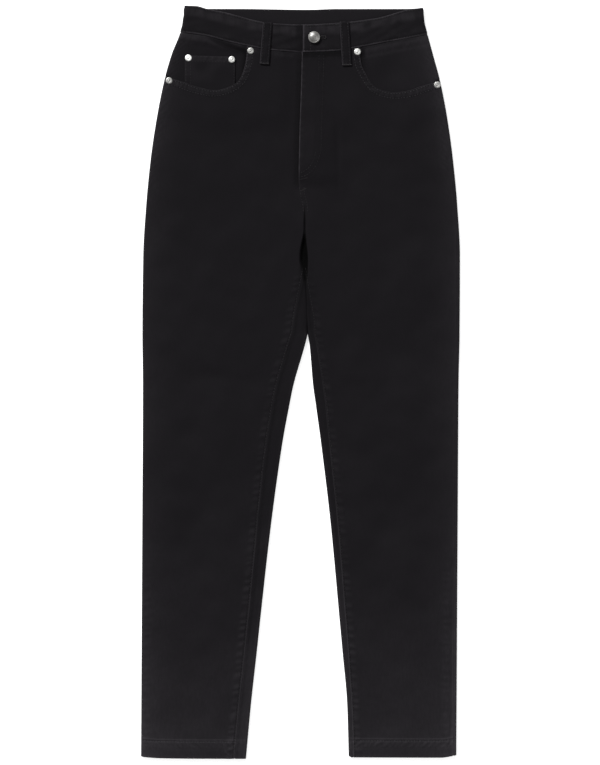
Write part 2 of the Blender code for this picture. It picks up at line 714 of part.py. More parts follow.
def back_loop(name, middle):
    half = 0.5 * BELT_LOOP_WIDTH
    low, high = BACK_LOOP_FOOT, BACK_LOOP_TOP
    outline = [(middle - half, low), (middle + half, low), (middle + half, high), (middle - half, high)]
    return prism(name, outline, 0, PATCH, BLACK_DENIM)


def back_pocket(side):
    """A five-sided patch under the back panel, flat on the floor."""
    size = BACK_POCKET
    outward = 1 if side == "left" else -1
    outline = [
        (size["inner"], size["top_inner"]),
        (size["outer"], size["top_outer"]),
        (size["outer_foot"], size["foot"]),
        ((size["inner_foot"] + size["outer_foot"]) / 2, size["point"]),
        (size["inner_foot"], size["foot"]),
    ]
    outline = [(SEAT_MIDDLE + outward * x, y) for x, y in outline]
    return prism("back_pocket_" + side, outline, 0, PATCH, BLACK_DENIM)


def button():
    """A shank button: a short neck under a domed cap."""
    cap = BUTTON_RADIUS
    profile = (
        (0, 0), (0.0036, 0), (0.0036, 0.0014), (0.88 * cap, 0.0014), (cap, 0.0022),
        (cap, 0.0030), (0.86 * cap, 0.0040), (0.5 * cap, 0.0046), (0, 0.0048),
    )
    made = turned("button", profile, 20, SILVER)
    made.location = (*BUTTON_AT, BAND_TOP + SEAM_GAP)
    return made


def rivet(name, x, y, cloth_top):
    """A domed cap with a nub in its middle."""
    cap = RIVET_RADIUS
    profile = (
        (0, 0), (cap, 0), (cap, 0.0006), (0.7 * cap, 0.0013), (0.36 * cap, 0.0013),
        (0.26 * cap, 0.0021), (0, 0.0022),
    )
    made = turned(name, profile, 12, SILVER)
    made.location = (x, y, cloth_top + SEAM_GAP)
    return made


def main():
    for thing in list(bpy.data.objects):
        bpy.data.objects.remove(thing)
    for side in ("right", "left"):
        front_panel(side)
        back_panel(side)
        yoke(side)
        back_pocket(side)
        pocket_facing(side)
    coin_pocket()
    waistband()
    for name, (top, foot) in FRONT_LOOPS.items():
        front_loop(name, top, foot)
    for name, middle in BACK_LOOPS.items():
        back_loop(name, middle)
    button()
    for name, place in RIVETS.items():
        rivet(name, *place)


main()
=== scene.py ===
"""The looks of black slim fit jeans that lie flat, front up, on a white surface.

Metres, in the garment's own frame: +Y from the hems to the waist, +X to the wearer's left,
+Z up off the surface. Every cloth piece is a fine grid on the same flattened ring of cloth
as its solid, with the roping, hems, folds and creases that sewing and washing give it.
"""

from types import SimpleNamespace

import bpy
import numpy as np
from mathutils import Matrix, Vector


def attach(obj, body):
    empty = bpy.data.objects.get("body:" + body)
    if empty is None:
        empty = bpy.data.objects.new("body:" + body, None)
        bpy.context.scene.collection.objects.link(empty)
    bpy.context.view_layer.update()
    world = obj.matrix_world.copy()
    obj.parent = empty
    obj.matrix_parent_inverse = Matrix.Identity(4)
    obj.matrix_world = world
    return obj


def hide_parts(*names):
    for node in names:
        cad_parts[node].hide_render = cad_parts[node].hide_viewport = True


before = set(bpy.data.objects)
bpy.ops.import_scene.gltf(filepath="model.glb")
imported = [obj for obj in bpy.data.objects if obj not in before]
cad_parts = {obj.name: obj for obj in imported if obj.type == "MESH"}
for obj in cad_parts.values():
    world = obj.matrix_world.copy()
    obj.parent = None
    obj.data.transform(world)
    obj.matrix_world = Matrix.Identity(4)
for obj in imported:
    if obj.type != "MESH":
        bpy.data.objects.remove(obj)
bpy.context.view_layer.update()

# ---------------------------------------------------------------- the garment's own sizes

SEAM_GAP = 0.0003
BAND_GAP = 0.0006  # between the waistband's underside and what it lies on
POCKET_CLOTH = 0.0010
BAND_CLOTH = 0.0024
PATCH = 0.0010
LOOP_CLOTH = 0.0016
EDGE_TURN = 0.00045  # radius of a turned cloth edge
FOLD_TURN = 0.00080  # radius of a folded hem, mouth or fly edge
MEET = 0.00035  # a turned edge's border stops this short of its seam line
PRESSED = 0.0001  # how far the two halves press past the centre line
TUCK = 0.0011  # how far the panels sink as they go under the waistband
UNDER_BAND = 0.0022  # how far they run on under it

LEG_TOP = 0.0057
PANEL_LIFT = 0.0019
FRONT_LIFTED = LEG_TOP + PANEL_LIFT
SEAT_RISE = PATCH + SEAM_GAP
BAND_TOP = 0.0080
UNDERLAP_TOP = 0.0053
SIDE_ROLL = 0.00285
BAND_ROLL = 0.0040
HEM_RISE = 0.0005
HEM_DEPTH = 0.0240

HEM_LEVEL = -0.5118
ABOVE_HEM = HEM_LEVEL + 0.030  # from here up to BELOW_WAIST the rows of a panel's grid are level
BELOW_WAIST = 0.375
LEGS_PART = 0.0657
CROTCH = 0.160
SEAT_END = 0.200
VALLEY_TOP = 0.2275
FLY_END = 0.262
FLY_UNDERLAP = 0.012
FLY_WIDTH = 0.0290
FLY_CURVE_TOP = 0.3220
FLY_CURVE_FOOT = 0.2790
YOKE_SIDE = 0.4400
SIDE_TOP = 0.4752  # where the waistband starts at the side folds
BAND_ENDS = (-0.1610, 0.1700)  # the side folds' x halfway up the waistband
BAND_WIDTH = 0.0375
BAND_UNDERLAP = 0.040
BACK_CENTRE = 0.003  # the centre back seam's x

# Rows of stitches: how far each lies from its edge
INSEAM_ROW = 0.0021
HEM_ROW = 0.0228
HEM_RIDGE = 0.0252  # the turned hem's top
BAND_ROW = 0.0022
LOOP_ROW = 0.0042  # from a belt loop's middle
DOUBLE_ROW = 0.0064  # between the fly's two
MOUTH_ROWS = (0.0020, 0.0082)
COIN_ROWS = (0.0018, 0.0078)
COIN_SIDE_ROWS = (0.0018, 0.0080)
CROTCH_ROWS = (0.0018, 0.0078)
BACK_ROWS = (0.002, 0.008)
TACK_WIDTH = 0.0016
WORN_THREAD = 0.00030

MOUTH_STRIP = 0.0130  # width of the strip along a pocket mouth
MOUTH_END = -0.0009 + MEET  # the arc at which a mouth meets the back, past the side fold
BELT_LOOP_WIDTH = 0.013
BUTTON_AT = (0.0184, 0.4686)
BUTTON_RADIUS = 0.0081
RIVET_RADIUS = 0.0046

# What a form and its wear and painted highlight share: of waves the seed, length and stretch, and of
# roping the pitch, reach, slant and seed
BAND_WRINKLES = (121, 0.012, 2.6)
BAND_ROPES = (0.0105, 0.0100, -0.5, 125)
SIDE_GATHERS = (0.0066, 0.0160, -0.9, 97)
COIN_ROPES = (0.0085, 0.0085, 0.4)  # its two edges have seeds of their own

OUTWARD = {"right": -1, "left": 1}  # each side's way out along X
SEEDS = {"right": 11, "left": 47}  # and its draw of puckers on the front


def table(names, *rows):
    """Named columns, sorted by the first one."""
    return dict(zip(names.split(), np.array(sorted(rows), float).T))


SIDE_FOLDS = table(
    "y right left",
    (0.5118, -0.1579, 0.1669), (0.4927, -0.1599, 0.1681), (0.4750, -0.1637, 0.1722),
    (0.4451, -0.1754, 0.1802), (0.4111, -0.1850, 0.1894), (0.3622, -0.1949, 0.1990),
    (0.3050, -0.2035, 0.2070), (0.2411, -0.2098, 0.2131), (0.1718, -0.2139, 0.2168),
    (0.0657, -0.2150, 0.2163), (-0.0037, -0.2143, 0.2149), (-0.1941, -0.2152, 0.2137),
    (-0.5118, -0.2169, 0.2118),
)
CENTRE_LINE = table(
    "y x",
    (0.5118, 0.0040), (0.4111, 0.0018), (0.3295, -0.0009), (0.2640, -0.0018),
    (0.2343, 0.0030), (0.1636, 0.0050), (0.1323, 0.0072), (LEGS_PART, 0.0097),
)
INNER_FOLDS = table(
    "y right left",
    (LEGS_PART, 0.0097, 0.0097), (0.0507, 0.0061, 0.0123), (-0.0037, -0.0095, 0.0170),
    (-0.0309, -0.0151, 0.0208), (-0.0853, -0.0250, 0.0282), (-0.1941, -0.0401, 0.0411),
    (-0.3301, -0.0555, 0.0537), (-0.3650, -0.0592, 0.0569), (-0.4389, -0.0674, 0.0634),
    (-0.5118, -0.0741, 0.0655),
)
INSEAM = table(
    "y right left",
    (CROTCH, 0.0, 0.0), (0.1300, 0.0085, 0.0027), (0.0800, 0.0200, 0.0092),
    (0.0480, 0.0242, 0.0109), (-0.0130, 0.0243, 0.0148), (-0.0744, 0.0230, 0.0127),
    (-0.1397, 0.0212, 0.0117), (-0.2852, 0.0180, 0.0100), (-0.3600, 0.0176, 0.0092),
    (-0.4117, 0.0173, 0.0077), (-0.5118, 0.0175, 0.0079),
)
OUTSEAM = table(
    "y right left",
    (0.5118, -0.0009, -0.0009), (0.4000, -0.0009, -0.0009), (0.2800, -0.0009, 0.0060),
    (-0.5118, -0.0009, 0.0062),
)
BAND_SEAM_FRONT = table(
    "x y",
    (-0.1637, 0.4752), (-0.1312, 0.4714), (-0.1040, 0.4638), (-0.0768, 0.4575),
    (-0.0374, 0.4506), (0.0034, 0.4481), (0.0510, 0.4498), (0.0823, 0.4552),
    (0.1190, 0.4623), (0.1722, 0.4723),
)
BAND_TOP_FRONT = table(
    "x y",
    (-0.1579, 0.5118), (-0.1435, 0.5112), (-0.1272, 0.5071), (-0.1020, 0.5025),
    (-0.0660, 0.4929), (-0.0382, 0.4877), (0.0034, 0.4863), (0.0510, 0.4885),
    (0.1040, 0.4949), (0.1448, 0.5056), (0.1669, 0.5088),
)
BAND_SEAM_BACK = table("x y", (-0.1637, 0.4752), (0.0040, 0.4695), (0.1722, 0.4723))
BAND_TOP_BACK = table(
    "x y",
    (-0.1579, 0.5118), (-0.1272, 0.5077), (-0.0800, 0.5077), (0.0100, 0.5066), (0.0500, 0.5077),
    (0.1448, 0.5077), (0.1669, 0.5088),
)
YOKE_SEAM = table("x y", (-0.1760, 0.4400), (0.0030, 0.4050), (0.1810, 0.4400))
HEM_EDGE = table(
    "x y",
    (-0.2169, -0.5088), (-0.2047, -0.5101), (-0.1900, -0.5110), (-0.1435, -0.5116),
    (-0.0745, -0.5118), (0.0660, -0.5086), (0.0700, -0.5098), (0.1897, -0.5102), (0.2118, -0.5071),
)
POCKET_MOUTH = {
    "right": (
        (-0.0728, 0.4800), (-0.0734, 0.4424), (-0.0798, 0.4172), (-0.0904, 0.4047),
        (-0.1145, 0.3970), (-0.1421, 0.4019), (-0.1673, 0.4103), (-0.2000, 0.4176),
    ),
    "left": (
        (0.0798, 0.4800), (0.0814, 0.4402), (0.0868, 0.4226), (0.1008, 0.4019),
        (0.1230, 0.3942), (0.1480, 0.3967), (0.1628, 0.4019), (0.2050, 0.4136),
    ),
}
POCKET_END = {"right": 0.4140, "left": 0.4094}
FACING_TOP = {"right": 0.0043, "left": 0.0057}
FACING_DIP = table("x y", (-0.1126, 0.4625), (-0.0760, 0.4490))  # a dip across the right facing
COIN_POCKET = {"left": -0.1575, "right": -0.0886, "top": 0.4446, "bottom": 0.3870}
FRONT_LOOPS = {
    "belt_loop_front_right": ((-0.0447, 0.4878), (-0.0490, 0.4325)),
    "belt_loop_front_left": ((0.0597, 0.4886), (0.0631, 0.4307)),
}
BACK_LOOPS = {
    "belt_loop_back_right": -0.0850,
    "belt_loop_centre_back": 0.0040,
    "belt_loop_back_left": 0.0930,
}
BACK_LOOP_ENDS = (0.4500, 0.5048)
BACK_POCKET = {
    "inner": 0.042, "outer": 0.176, "inner_foot": 0.052, "outer_foot": 0.163,
    "top_inner": 0.3900, "top_outer": 0.3990, "foot": 0.2620, "point": 0.2440,
}
COIN_TOP = FACING_TOP["right"] + SEAM_GAP + POCKET_CLOTH
RIVETS = {
    "rivet_coin_outer": (-0.1523, 0.4408, COIN_TOP),
    "rivet_coin_inner": (-0.0935, 0.4386, COIN_TOP),
    "rivet_right_top": (-0.0678, 0.4503, FRONT_LIFTED),
    "rivet_right_side": (-0.1785, 0.4098, FRONT_LIFTED),
    "rivet_left_top": (0.0773, 0.4490, FRONT_LIFTED),
    "rivet_left_side": (0.1857, 0.4040, FRONT_LIFTED),
}

# Paleness of a pocket mouth's rolled edge, partly wear and partly painted highlight
MOUTH_EDGE_WEAR_AND_HIGHLIGHT = {"right": (0.12, 0.34), "left": (0.09, 0.42)}  # in a mouth's lower and upper half
# Paler down the legs, and by each side fold: wear in the middle of a leg, and at both folds wear and
# painted light on the rounded fold
LEG_WEAR_AND_FOLD_LIGHT = table(
    "y middle right left",
    (0.4600, 0.0, 0.17, 0.17), (0.3600, 0.0, 0.14, 0.15), (0.2500, 0.0, 0.10, 0.125),
    (0.0000, 0.004, 0.095, 0.115), (-0.1600, 0.008, 0.090, 0.100), (-0.2280, 0.014, 0.095, 0.105),
    (-0.2960, 0.027, 0.105, 0.120), (-0.3640, 0.046, 0.120, 0.130), (-0.4185, 0.072, 0.140, 0.125),
    (-0.4525, 0.086, 0.150, 0.130), (-0.4756, 0.112, 0.190, 0.145), (-0.5118, 0.120, 0.200, 0.160),
)
FOLD_FADE = 0.0175  # how far in from a side fold its wear and painted light fade to a third

PICTURE_LENGTH = 1.0404  # what the picture's long side takes in
PICTURE_MIDDLE = (-0.0007, -0.0003)

# The fold at the crotch, sunk and darkened with painted shade: its edges, and how deep it is against its
# deepest
CROTCH_FOLD = table(
    "y left right deep",
    (0.2420, 0.0058, 0.0062, 0.0), (0.2330, 0.0052, 0.0068, 0.30), (0.2153, 0.0046, 0.0075, 0.46),
    (0.2044, 0.0044, 0.0075, 0.44), (0.1962, 0.0032, 0.0078, 0.76), (0.1881, 0.0018, 0.0084, 1.0),
    (0.1799, 0.0006, 0.0093, 1.0), (0.1718, 0.0000, 0.0101, 1.0), (0.1663, 0.0000, 0.0103, 0.95),
    (0.1609, 0.0006, 0.0103, 0.78), (0.1555, 0.0016, 0.0102, 0.62), (0.1500, 0.0028, 0.0100, 0.50),
    (0.1418, 0.0036, 0.0094, 0.46), (0.1337, 0.0052, 0.0088, 0.20), (0.1100, 0.0062, 0.0084, 0.07),
    (0.0700, 0.0070, 0.0090, 0.10), (0.0657, 0.0080, 0.0092, 0.0),
)
FOLD_DEPTH = 0.0046

FLY_TACKS = table(
    "x y length width turn",
    (0.0042, 0.2765, 0.0105, 0.0016, 0.22),
    (0.0040, 0.2615, 0.0080, 0.0014, 0.40),
)

# Soft troughs across the cloth: both ends, half width and depth. A ridge has a depth below 0.
TROUGHS = table(
    "x0 y0 x1 y1 half_width depth",
    (-0.1408, 0.0113, -0.0524, -0.0010, 0.011, 0.0009),
    (-0.1285, 0.1230, -0.0496, 0.1120, 0.012, 0.0005),
    (0.0564, -0.0023, 0.0959, -0.0010, 0.010, 0.0005),
    (0.0500, 0.3650, 0.0515, 0.2560, 0.0030, 0.0006),
    (-0.1040, -0.4900, -0.1015, -0.5040, 0.0011, -0.0006),
    (-0.1015, -0.5020, -0.0960, -0.5085, 0.0011, -0.0006),
    (-0.0830, -0.4880, -0.0800, -0.5060, 0.0013, -0.0006),
)

# ---------------------------------------------------------------- curves and smooth steps


def smooth(rows, column, at, key="y"):
    """Monotone cubic through one column of a table: no overshoot between its rows."""
    places, values = rows[key], rows[column]
    steps = np.diff(places)
    slopes = np.diff(values) / steps
    rates = np.empty_like(values)
    rates[0], rates[-1] = slopes[0], slopes[-1]
    before, after = slopes[:-1], slopes[1:]
    weight_before = steps[:-1] + 2 * steps[1:]
    weight_after = 2 * steps[:-1] + steps[1:]
    with np.errstate(divide="ignore", invalid="ignore"):
        mean = (weight_before + weight_after) / (weight_before / after + weight_after / before)
    rates[1:-1] = np.where(before * after > 0, mean, 0.0)
    at = np.clip(at, places[0], places[-1])
    low = np.clip(np.searchsorted(places, at) - 1, 0, len(steps) - 1)
    step = steps[low]
    t = (at - places[low]) / step
    return (
        values[low] * (1 + 2 * t) * (1 - t) ** 2
        + rates[low] * step * t * (1 - t) ** 2
        + values[low + 1] * t * t * (3 - 2 * t)
        + rates[low + 1] * step * t * t * (t - 1)
    )


def ease(at, start, end):
    """0 before start, 1 after end, and a smooth S between them."""
    t = np.clip((at - start) / (end - start), 0, 1)
    return t * t * (3 - 2 * t)


def bump(at, middle, half_width):
    """A bell of height 1 at middle: exp of minus the square of the distance in half widths."""
    return np.exp(-(((at - middle) / half_width) ** 2))


def bumps(at, *rows):
    """The sum of bells, each given by its height, its middle and its half width."""
    return sum(height * bump(at, middle, half_width) for height, middle, half_width in rows)


def curve_through(points, steps):
    """A smooth open curve through points, with this many steps in each span."""
    points = np.array(points, float)
    ends = np.vstack([2 * points[0] - points[1], points, 2 * points[-1] - points[-2]])
    t = np.linspace(0, 1, steps, endpoint=False)[None, :, None]
    p0, p1, p2, p3 = (ends[i : len(points) - 1 + i, None, :] for i in range(4))
    spans = 0.5 * (
        2 * p1 + (p2 - p0) * t + (2 * p0 - 5 * p1 + 4 * p2 - p3) * t**2
        + (3 * p1 - p0 - 3 * p2 + p3) * t**3
    )
    return np.vstack([spans.reshape(-1, points.shape[1]), points[-1:]])


def run_along(path):
    """Distance run along a polyline, at each of its points."""
    return np.r_[0, np.cumsum(np.linalg.norm(np.diff(path, axis=0), axis=1))]


def heading(path):
    """Unit direction of a polyline, at each of its points."""
    along = np.gradient(path, axis=0)
    return along / np.linalg.norm(along, axis=1)[:, None]


def to_left(along):
    """Plan directions turned a quarter to their left."""
    return np.stack([-along[:, 1], along[:, 0]], -1)


def read_at(at, run, values):
    """Each column of values read at places along their run."""
    return np.stack([np.interp(at, run, column) for column in values.T], -1)


def even_path(points, step):
    """The same polyline with points at equal steps along it."""
    points = np.asarray(points, float)
    run = run_along(points)
    at = np.linspace(0, run[-1], max(2, int(round(run[-1] / step)) + 1))
    return read_at(at, run, points)


def beside(path, x, y):
    """Run along a plan polyline and signed distance from it, positive on its left."""
    steps = np.diff(path, axis=0)
    sizes = np.linalg.norm(steps, axis=1)
    starts = run_along(path)
    best = np.full(np.shape(x), np.inf)
    run, side = np.zeros_like(best), np.zeros_like(best)
    for (from_x, from_y), (step_x, step_y), size, start in zip(path, steps, sizes, starts):
        off_x, off_y = x - from_x, y - from_y
        t = np.clip((off_x * step_x + off_y * step_y) / size**2, 0, 1)
        gap = np.hypot(off_x - t * step_x, off_y - t * step_y)
        nearer = gap < best
        best = np.where(nearer, gap, best)
        run = np.where(nearer, start + t * size, run)
        side = np.where(nearer, np.sign(step_x * off_y - step_y * off_x), side)
    return run, side * best


def uneven(at, seed, length):
    """Smooth noise between about -1 and 1 along a line: three sines of unlike lengths."""
    draw = np.random.default_rng(seed)
    phases = draw.uniform(0, 2 * np.pi, 3)
    lengths = draw.uniform(0.8, 1.25, 3) * np.array((1.0, 0.57, 0.36)) * length
    sines = [np.sin(2 * np.pi * at / size + phase) for size, phase in zip(lengths, phases)]
    return (sines[0] + 0.7 * sines[1] + 0.5 * sines[2]) / 1.7


def waves(x, y, seed, length, stretch=1.0):
    """Smooth noise over an area: ten sines in scattered directions, longer along X by stretch."""
    draw = np.random.default_rng(seed)
    total = 0.0
    for _ in range(10):
        turn = draw.uniform(0, 2 * np.pi)
        size = length * draw.uniform(0.7, 1.6)
        phase = draw.uniform(0, 2 * np.pi)
        across = x * np.cos(turn) / stretch + y * np.sin(turn)
        total = total + np.sin(2 * np.pi * across / size + phase)
    return total / np.sqrt(10 / 2) / 1.6


def roping(run, away, pitch, reach, slant, seed):
    """Puckers beside a seam, 0 to 1: slanted ribs an uneven pitch apart that fade by reach."""
    bend = 0.32 * uneven(run, seed, 5.3 * pitch)
    rib = 0.5 + 0.5 * np.sin(2 * np.pi * ((run + slant * away) / pitch + bend))
    size = 0.72 + 0.28 * uneven(run, seed + 1, 7.1 * pitch)
    across = ease(away, 0.0, 0.22 * reach) * (1 - ease(away, 0.45 * reach, reach))
    return rib**1.4 * size * across


# ---------------------------------------------------------------- the ring of cloth


def centre_line(y):
    return smooth(CENTRE_LINE, "x", y)


def side_fold(side, y):
    return smooth(SIDE_FOLDS, side, y)


def height_at(rows, x):
    """An edge's or a seam's y at x."""
    return smooth(rows, "y", x, key="x")


def hem_edge(x):
    return height_at(HEM_EDGE, x)


def band_seam(x):
    return height_at(BAND_SEAM_FRONT, x)


def outseam_at(side, y):
    """How far the outseam lies from the side fold, over the top."""
    return smooth(OUTSEAM, side, y)


def inseam_at(side, y):
    """How far the inseam lies from the inner fold: nowhere above the crotch."""
    return np.where(y < CROTCH, smooth(INSEAM, side, y), 0.0)


def inner_fold(side, y):
    """A leg's inner fold, or the centre line, where the halves press 0.1 mm into each other."""
    pressed = centre_line(y) - OUTWARD[side] * PRESSED
    return np.where(y >= LEGS_PART, pressed, smooth(INNER_FOLDS, side, y))


def floor_level(y):
    """The underside: level, and under the seat raised onto the back pockets."""
    return SEAT_RISE * ease(y, SEAT_END, SEAT_END + 0.032)


def inner_closure(y):
    """How far the inner folds close down to half height: fully at the legs, less where the
    thighs press together, and not at all above the crotch."""
    return 1 - 0.62 * ease(y, LEGS_PART + 0.002, LEGS_PART + 0.026) - 0.38 * ease(y, 0.132, 0.152)


def inner_roll(y):
    """How far in an inner fold's round reaches: less where the thighs press together."""
    return SIDE_ROLL - 0.0010 * ease(y, LEGS_PART + 0.002, LEGS_PART + 0.026)


def arc_length(side, y, extra=0.0):
    """Half the ring's arc, from the side fold over to the inner fold, made longer by extra."""
    width = np.abs(side_fold(side, y) - inner_fold(side, y)) + extra
    return width + (np.pi / 2 - 1) * (SIDE_ROLL + inner_roll(y))


def underlap(side, y):
    """How far the right front runs on under the left one at the fly."""
    return FLY_UNDERLAP * ease(y, 0.286, 0.304) if side == "right" else np.zeros(np.shape(y))


def ring(side, y, arc, top, extra=0.0):
    """Point and outward direction at an arc of the half ring: quarter round, level, quarter
    round, first over the top for a positive arc or along the floor for a negative one, and
    back on the other face past the inner fold."""
    roll = inner_roll(y)
    length = arc_length(side, y, extra)
    side_arc, inner_arc = np.pi / 2 * SIDE_ROLL, np.pi / 2 * roll
    past = np.abs(arc) > length
    face = np.where(arc >= 0, 1, -1) * np.where(past, -1, 1)
    run = np.where(past, 2 * length - np.abs(arc), np.abs(arc))
    side_angle = np.clip(run / side_arc, 0, 1) * np.pi / 2
    inner_angle = np.clip((length - run) / inner_arc, 0, 1) * np.pi / 2
    level_run = np.clip(run - side_arc, 0, length - side_arc - inner_arc)
    inward = SIDE_ROLL * (1 - np.cos(side_angle)) + level_run + roll * np.cos(inner_angle)
    closure = inner_closure(y)
    rise = np.sin(side_angle) * (1 - closure * (1 - np.sin(inner_angle)))
    low = floor_level(y)
    middle = (low + LEG_TOP) / 2
    z = middle + rise * np.where(face > 0, top - middle, low - middle)
    x = side_fold(side, y) - OUTWARD[side] * inward
    across = OUTWARD[side] * (np.cos(side_angle) - closure * np.cos(inner_angle))
    up = face * rise
    size = np.hypot(across, up)
    return np.stack([x, y + 0 * x, z], -1), np.stack([across / size, 0 * x, up / size], -1)


def arc_over(side, x, y):
    """The arc at which the top of the half ring passes over x."""
    inward = np.abs(side_fold(side, y) - x)
    in_round = np.arccos(np.clip(1 - inward / SIDE_ROLL, -1, 1)) * SIDE_ROLL
    return np.where(inward < SIDE_ROLL, in_round, inward - SIDE_ROLL + np.pi / 2 * SIDE_ROLL)


# ---------------------------------------------------------------- meshes


def join_parts(parts):
    """One set of points, quads and values of wear and painted light from several."""
    points, faces, wear_and_painted_light, shift = [], [], [], 0
    for part_points, part_faces, part_wear_and_painted_light in parts:
        points.append(part_points)
        faces.append(part_faces + shift)
        wear_and_painted_light.append(np.broadcast_to(part_wear_and_painted_light, len(part_points)))
        shift += len(part_points)
    return np.concatenate(points), np.concatenate(faces), np.concatenate(wear_and_painted_light)


def placed(name, data):
    """A new object in the scene, at the origin."""
    thing = bpy.data.objects.new(name, data)
    bpy.context.scene.collection.objects.link(thing)
    return thing


def piece_of(name, parts, nodes, material):
    """A mesh of (points, quads, wear and painted light) parts that rides on the garment and stands for
    nodes.
    """
    points, faces, wear_and_painted_light = join_parts(parts)
    mesh = bpy.data.meshes.new(name)
    mesh.vertices.add(len(points))
    mesh.vertices.foreach_set("co", points.astype(np.float32).ravel())
    mesh.loops.add(faces.size)
    mesh.loops.foreach_set("vertex_index", faces.astype(np.int32).ravel())
    mesh.polygons.add(len(faces))
    mesh.polygons.foreach_set("loop_start", np.arange(len(faces), dtype=np.int32) * 4)
    mesh.update(calc_edges=True)
    mesh.validate()
    layer = mesh.attributes.new("wear_and_painted_light", "FLOAT", "POINT")
    layer.data.foreach_set("value", wear_and_painted_light.astype(np.float32))
    mesh.shade_smooth()
    mesh.materials.append(material)
    piece = placed(name, mesh)
    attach(piece, "root")
    if nodes:
        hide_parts(*nodes)
    return piece


def quads_of(rows, columns, wrap=False):
    """Quads of a grid, row by row. With wrap the last column joins the first."""
    index = np.arange(rows * columns).reshape(rows, columns)
    if wrap:
        index = np.concatenate([index, index[:, :1]], axis=1)
    corners = np.stack([index[:-1, :-1], index[:-1, 1:], index[1:, 1:], index[1:, :-1]], -1)
    return corners.reshape(-1, 4)


def facing_out(points, faces, outward):
    """The quads turned so that most of their normals agree with the outward directions."""
    a, b, c, d = (points[faces[:, i]] for i in range(4))
    agree = np.einsum("ij,ij->i", np.cross(c - a, d - b), outward[faces[:, 0]])
    return faces if agree.sum() > 0 else faces[:, ::-1]


def grid_part(points, outward, wear_and_painted_light, wrap=False):
    """A grid of points as one part of a piece."""
    flat = points.reshape(-1, 3)
    faces = facing_out(flat, quads_of(*points.shape[:2], wrap), outward.reshape(-1, 3))
    return flat, faces, np.broadcast_to(wear_and_painted_light, points.shape[:2]).reshape(-1)


def turned_edge(grids, axis, at_end, radius, corners):
    """Adds rows past one border of a grid that roll round its edge and run back under it.

    The roll is the border moved by radius * sin(a) along the cloth and by radius *
    (1 - cos(a)) under it, for a up to half a turn. The return is the cloth's own rows beside
    the border, two radii under their outside. At a corner whose other border is turned
    already, the roll fades out over CORNER_SHARE and the other roll's end draws in to its
    own middle, edge + (middle - edge) * t, which closes it.
    """
    grids = [np.swapaxes(grid, 0, axis)[:: 1 if at_end else -1] for grid in grids]
    points, outward, wear_and_painted_light = grids
    edge, normal = points[-1], outward[-1]
    radius = np.broadcast_to(radius, len(edge))[:, None]
    along = edge - points[-2]
    along = along - normal * np.einsum("ij,ij->i", along, normal)[:, None]
    along = along / (np.linalg.norm(along, axis=1)[:, None] + 1e-12)
    share, middle = np.ones((len(edge), 1)), edge.copy()
    count = len(CORNER_SHARE)
    for way, is_turned in zip((1, -1), corners):
        if is_turned:
            share[::way][:count, 0] = CORNER_SHARE
            middle[::way][:count] = edge[::way][:10].mean(axis=0)
    roll, facing = [], []
    for turn in np.radians((30, 60, 90, 120, 150, 180)):
        roll.append(edge + along * radius * np.sin(turn) - normal * radius * (1 - np.cos(turn)))
        facing.append(normal * np.cos(turn) + along * np.sin(turn))
    for back in (2, 4, 6):
        roll.append(points[-1 - back] - outward[-1 - back] * 2 * radius)
        facing.append(-outward[-1 - back])
    for k, row in enumerate(roll):
        drawn_in = edge + (middle - edge) * (k + 1) / 9.5
        roll[k] = drawn_in * (1 - share) + row * share
    new = (roll, facing, [wear_and_painted_light[-1]] * len(roll))
    grids = [np.concatenate([grid, rows])[:: 1 if at_end else -1] for grid, rows in zip(grids, new)]
    return [np.swapaxes(grid, 0, axis) for grid in grids]


BORDERS = {"high": (0, True), "low": (0, False), "first": (1, False), "last": (1, True)}
CORNER_SHARE = np.array([0.0] * 9 + [0.35, 0.70, 0.90])


def cloth_grid(points, outward, wear_and_painted_light, **edges):
    """A grid as one part, with the borders named in edges turned at the radius each gives."""
    grids = (points, outward, wear_and_painted_light)
    turned = []
    for border, radius in edges.items():
        axis, at_end = BORDERS[border]
        corners = [name in turned for name in (("low", "high") if axis else ("first", "last"))]
        grids = turned_edge(grids, axis, at_end, radius, corners)
        turned.append(border)
    return grid_part(*grids)


def lay_columns(start, middle, end):
    """Columns across a piece: fixed steps in from both edges, in mm, and even ones between.

    Each column's arc is first * (1 - share) + last * share + step.
    """
    t = np.linspace(0, 1, middle + 2)[1:-1]
    start, end = np.array(start) * 0.001, -np.array(end[::-1]) * 0.001
    shares = np.r_[np.zeros(len(start)), t, np.ones(len(end))]
    steps = np.r_[start, start[-1] + (end[0] - start[-1]) * t, end]
    return shares, steps


def stretch_rows(stations, keep_low, keep_high, low, high):
    """Rows that keep their height between two levels and stretch to meet both edges."""
    rows = stations[:, None]
    bottom = low + (rows - stations[0]) * (keep_low - low) / (keep_low - stations[0])
    top = keep_high + (rows - keep_high) * (high - keep_high) / (stations[-1] - keep_high)
    return np.where(rows < keep_low, bottom, np.where(rows > keep_high, top, rows))


def fit_rows(side, stations, arc_at, edges_at, keep_low, keep_high, extra_at=np.zeros_like):
    """Heights and arcs of a panel's grid: its edges depend on x, and x on height and arc."""
    count = arc_at(stations[:, None]).shape[1]
    rows = np.repeat(stations[:, None], count, axis=1)
    for _ in range(4):
        arc = arc_at(rows)
        x = ring(side, rows, arc, LEG_TOP, extra_at(rows))[0][..., 0]
        rows = stretch_rows(stations, keep_low, keep_high, *edges_at(x))
    return rows, arc_at(rows)


# ---------------------------------------------------------------- materials


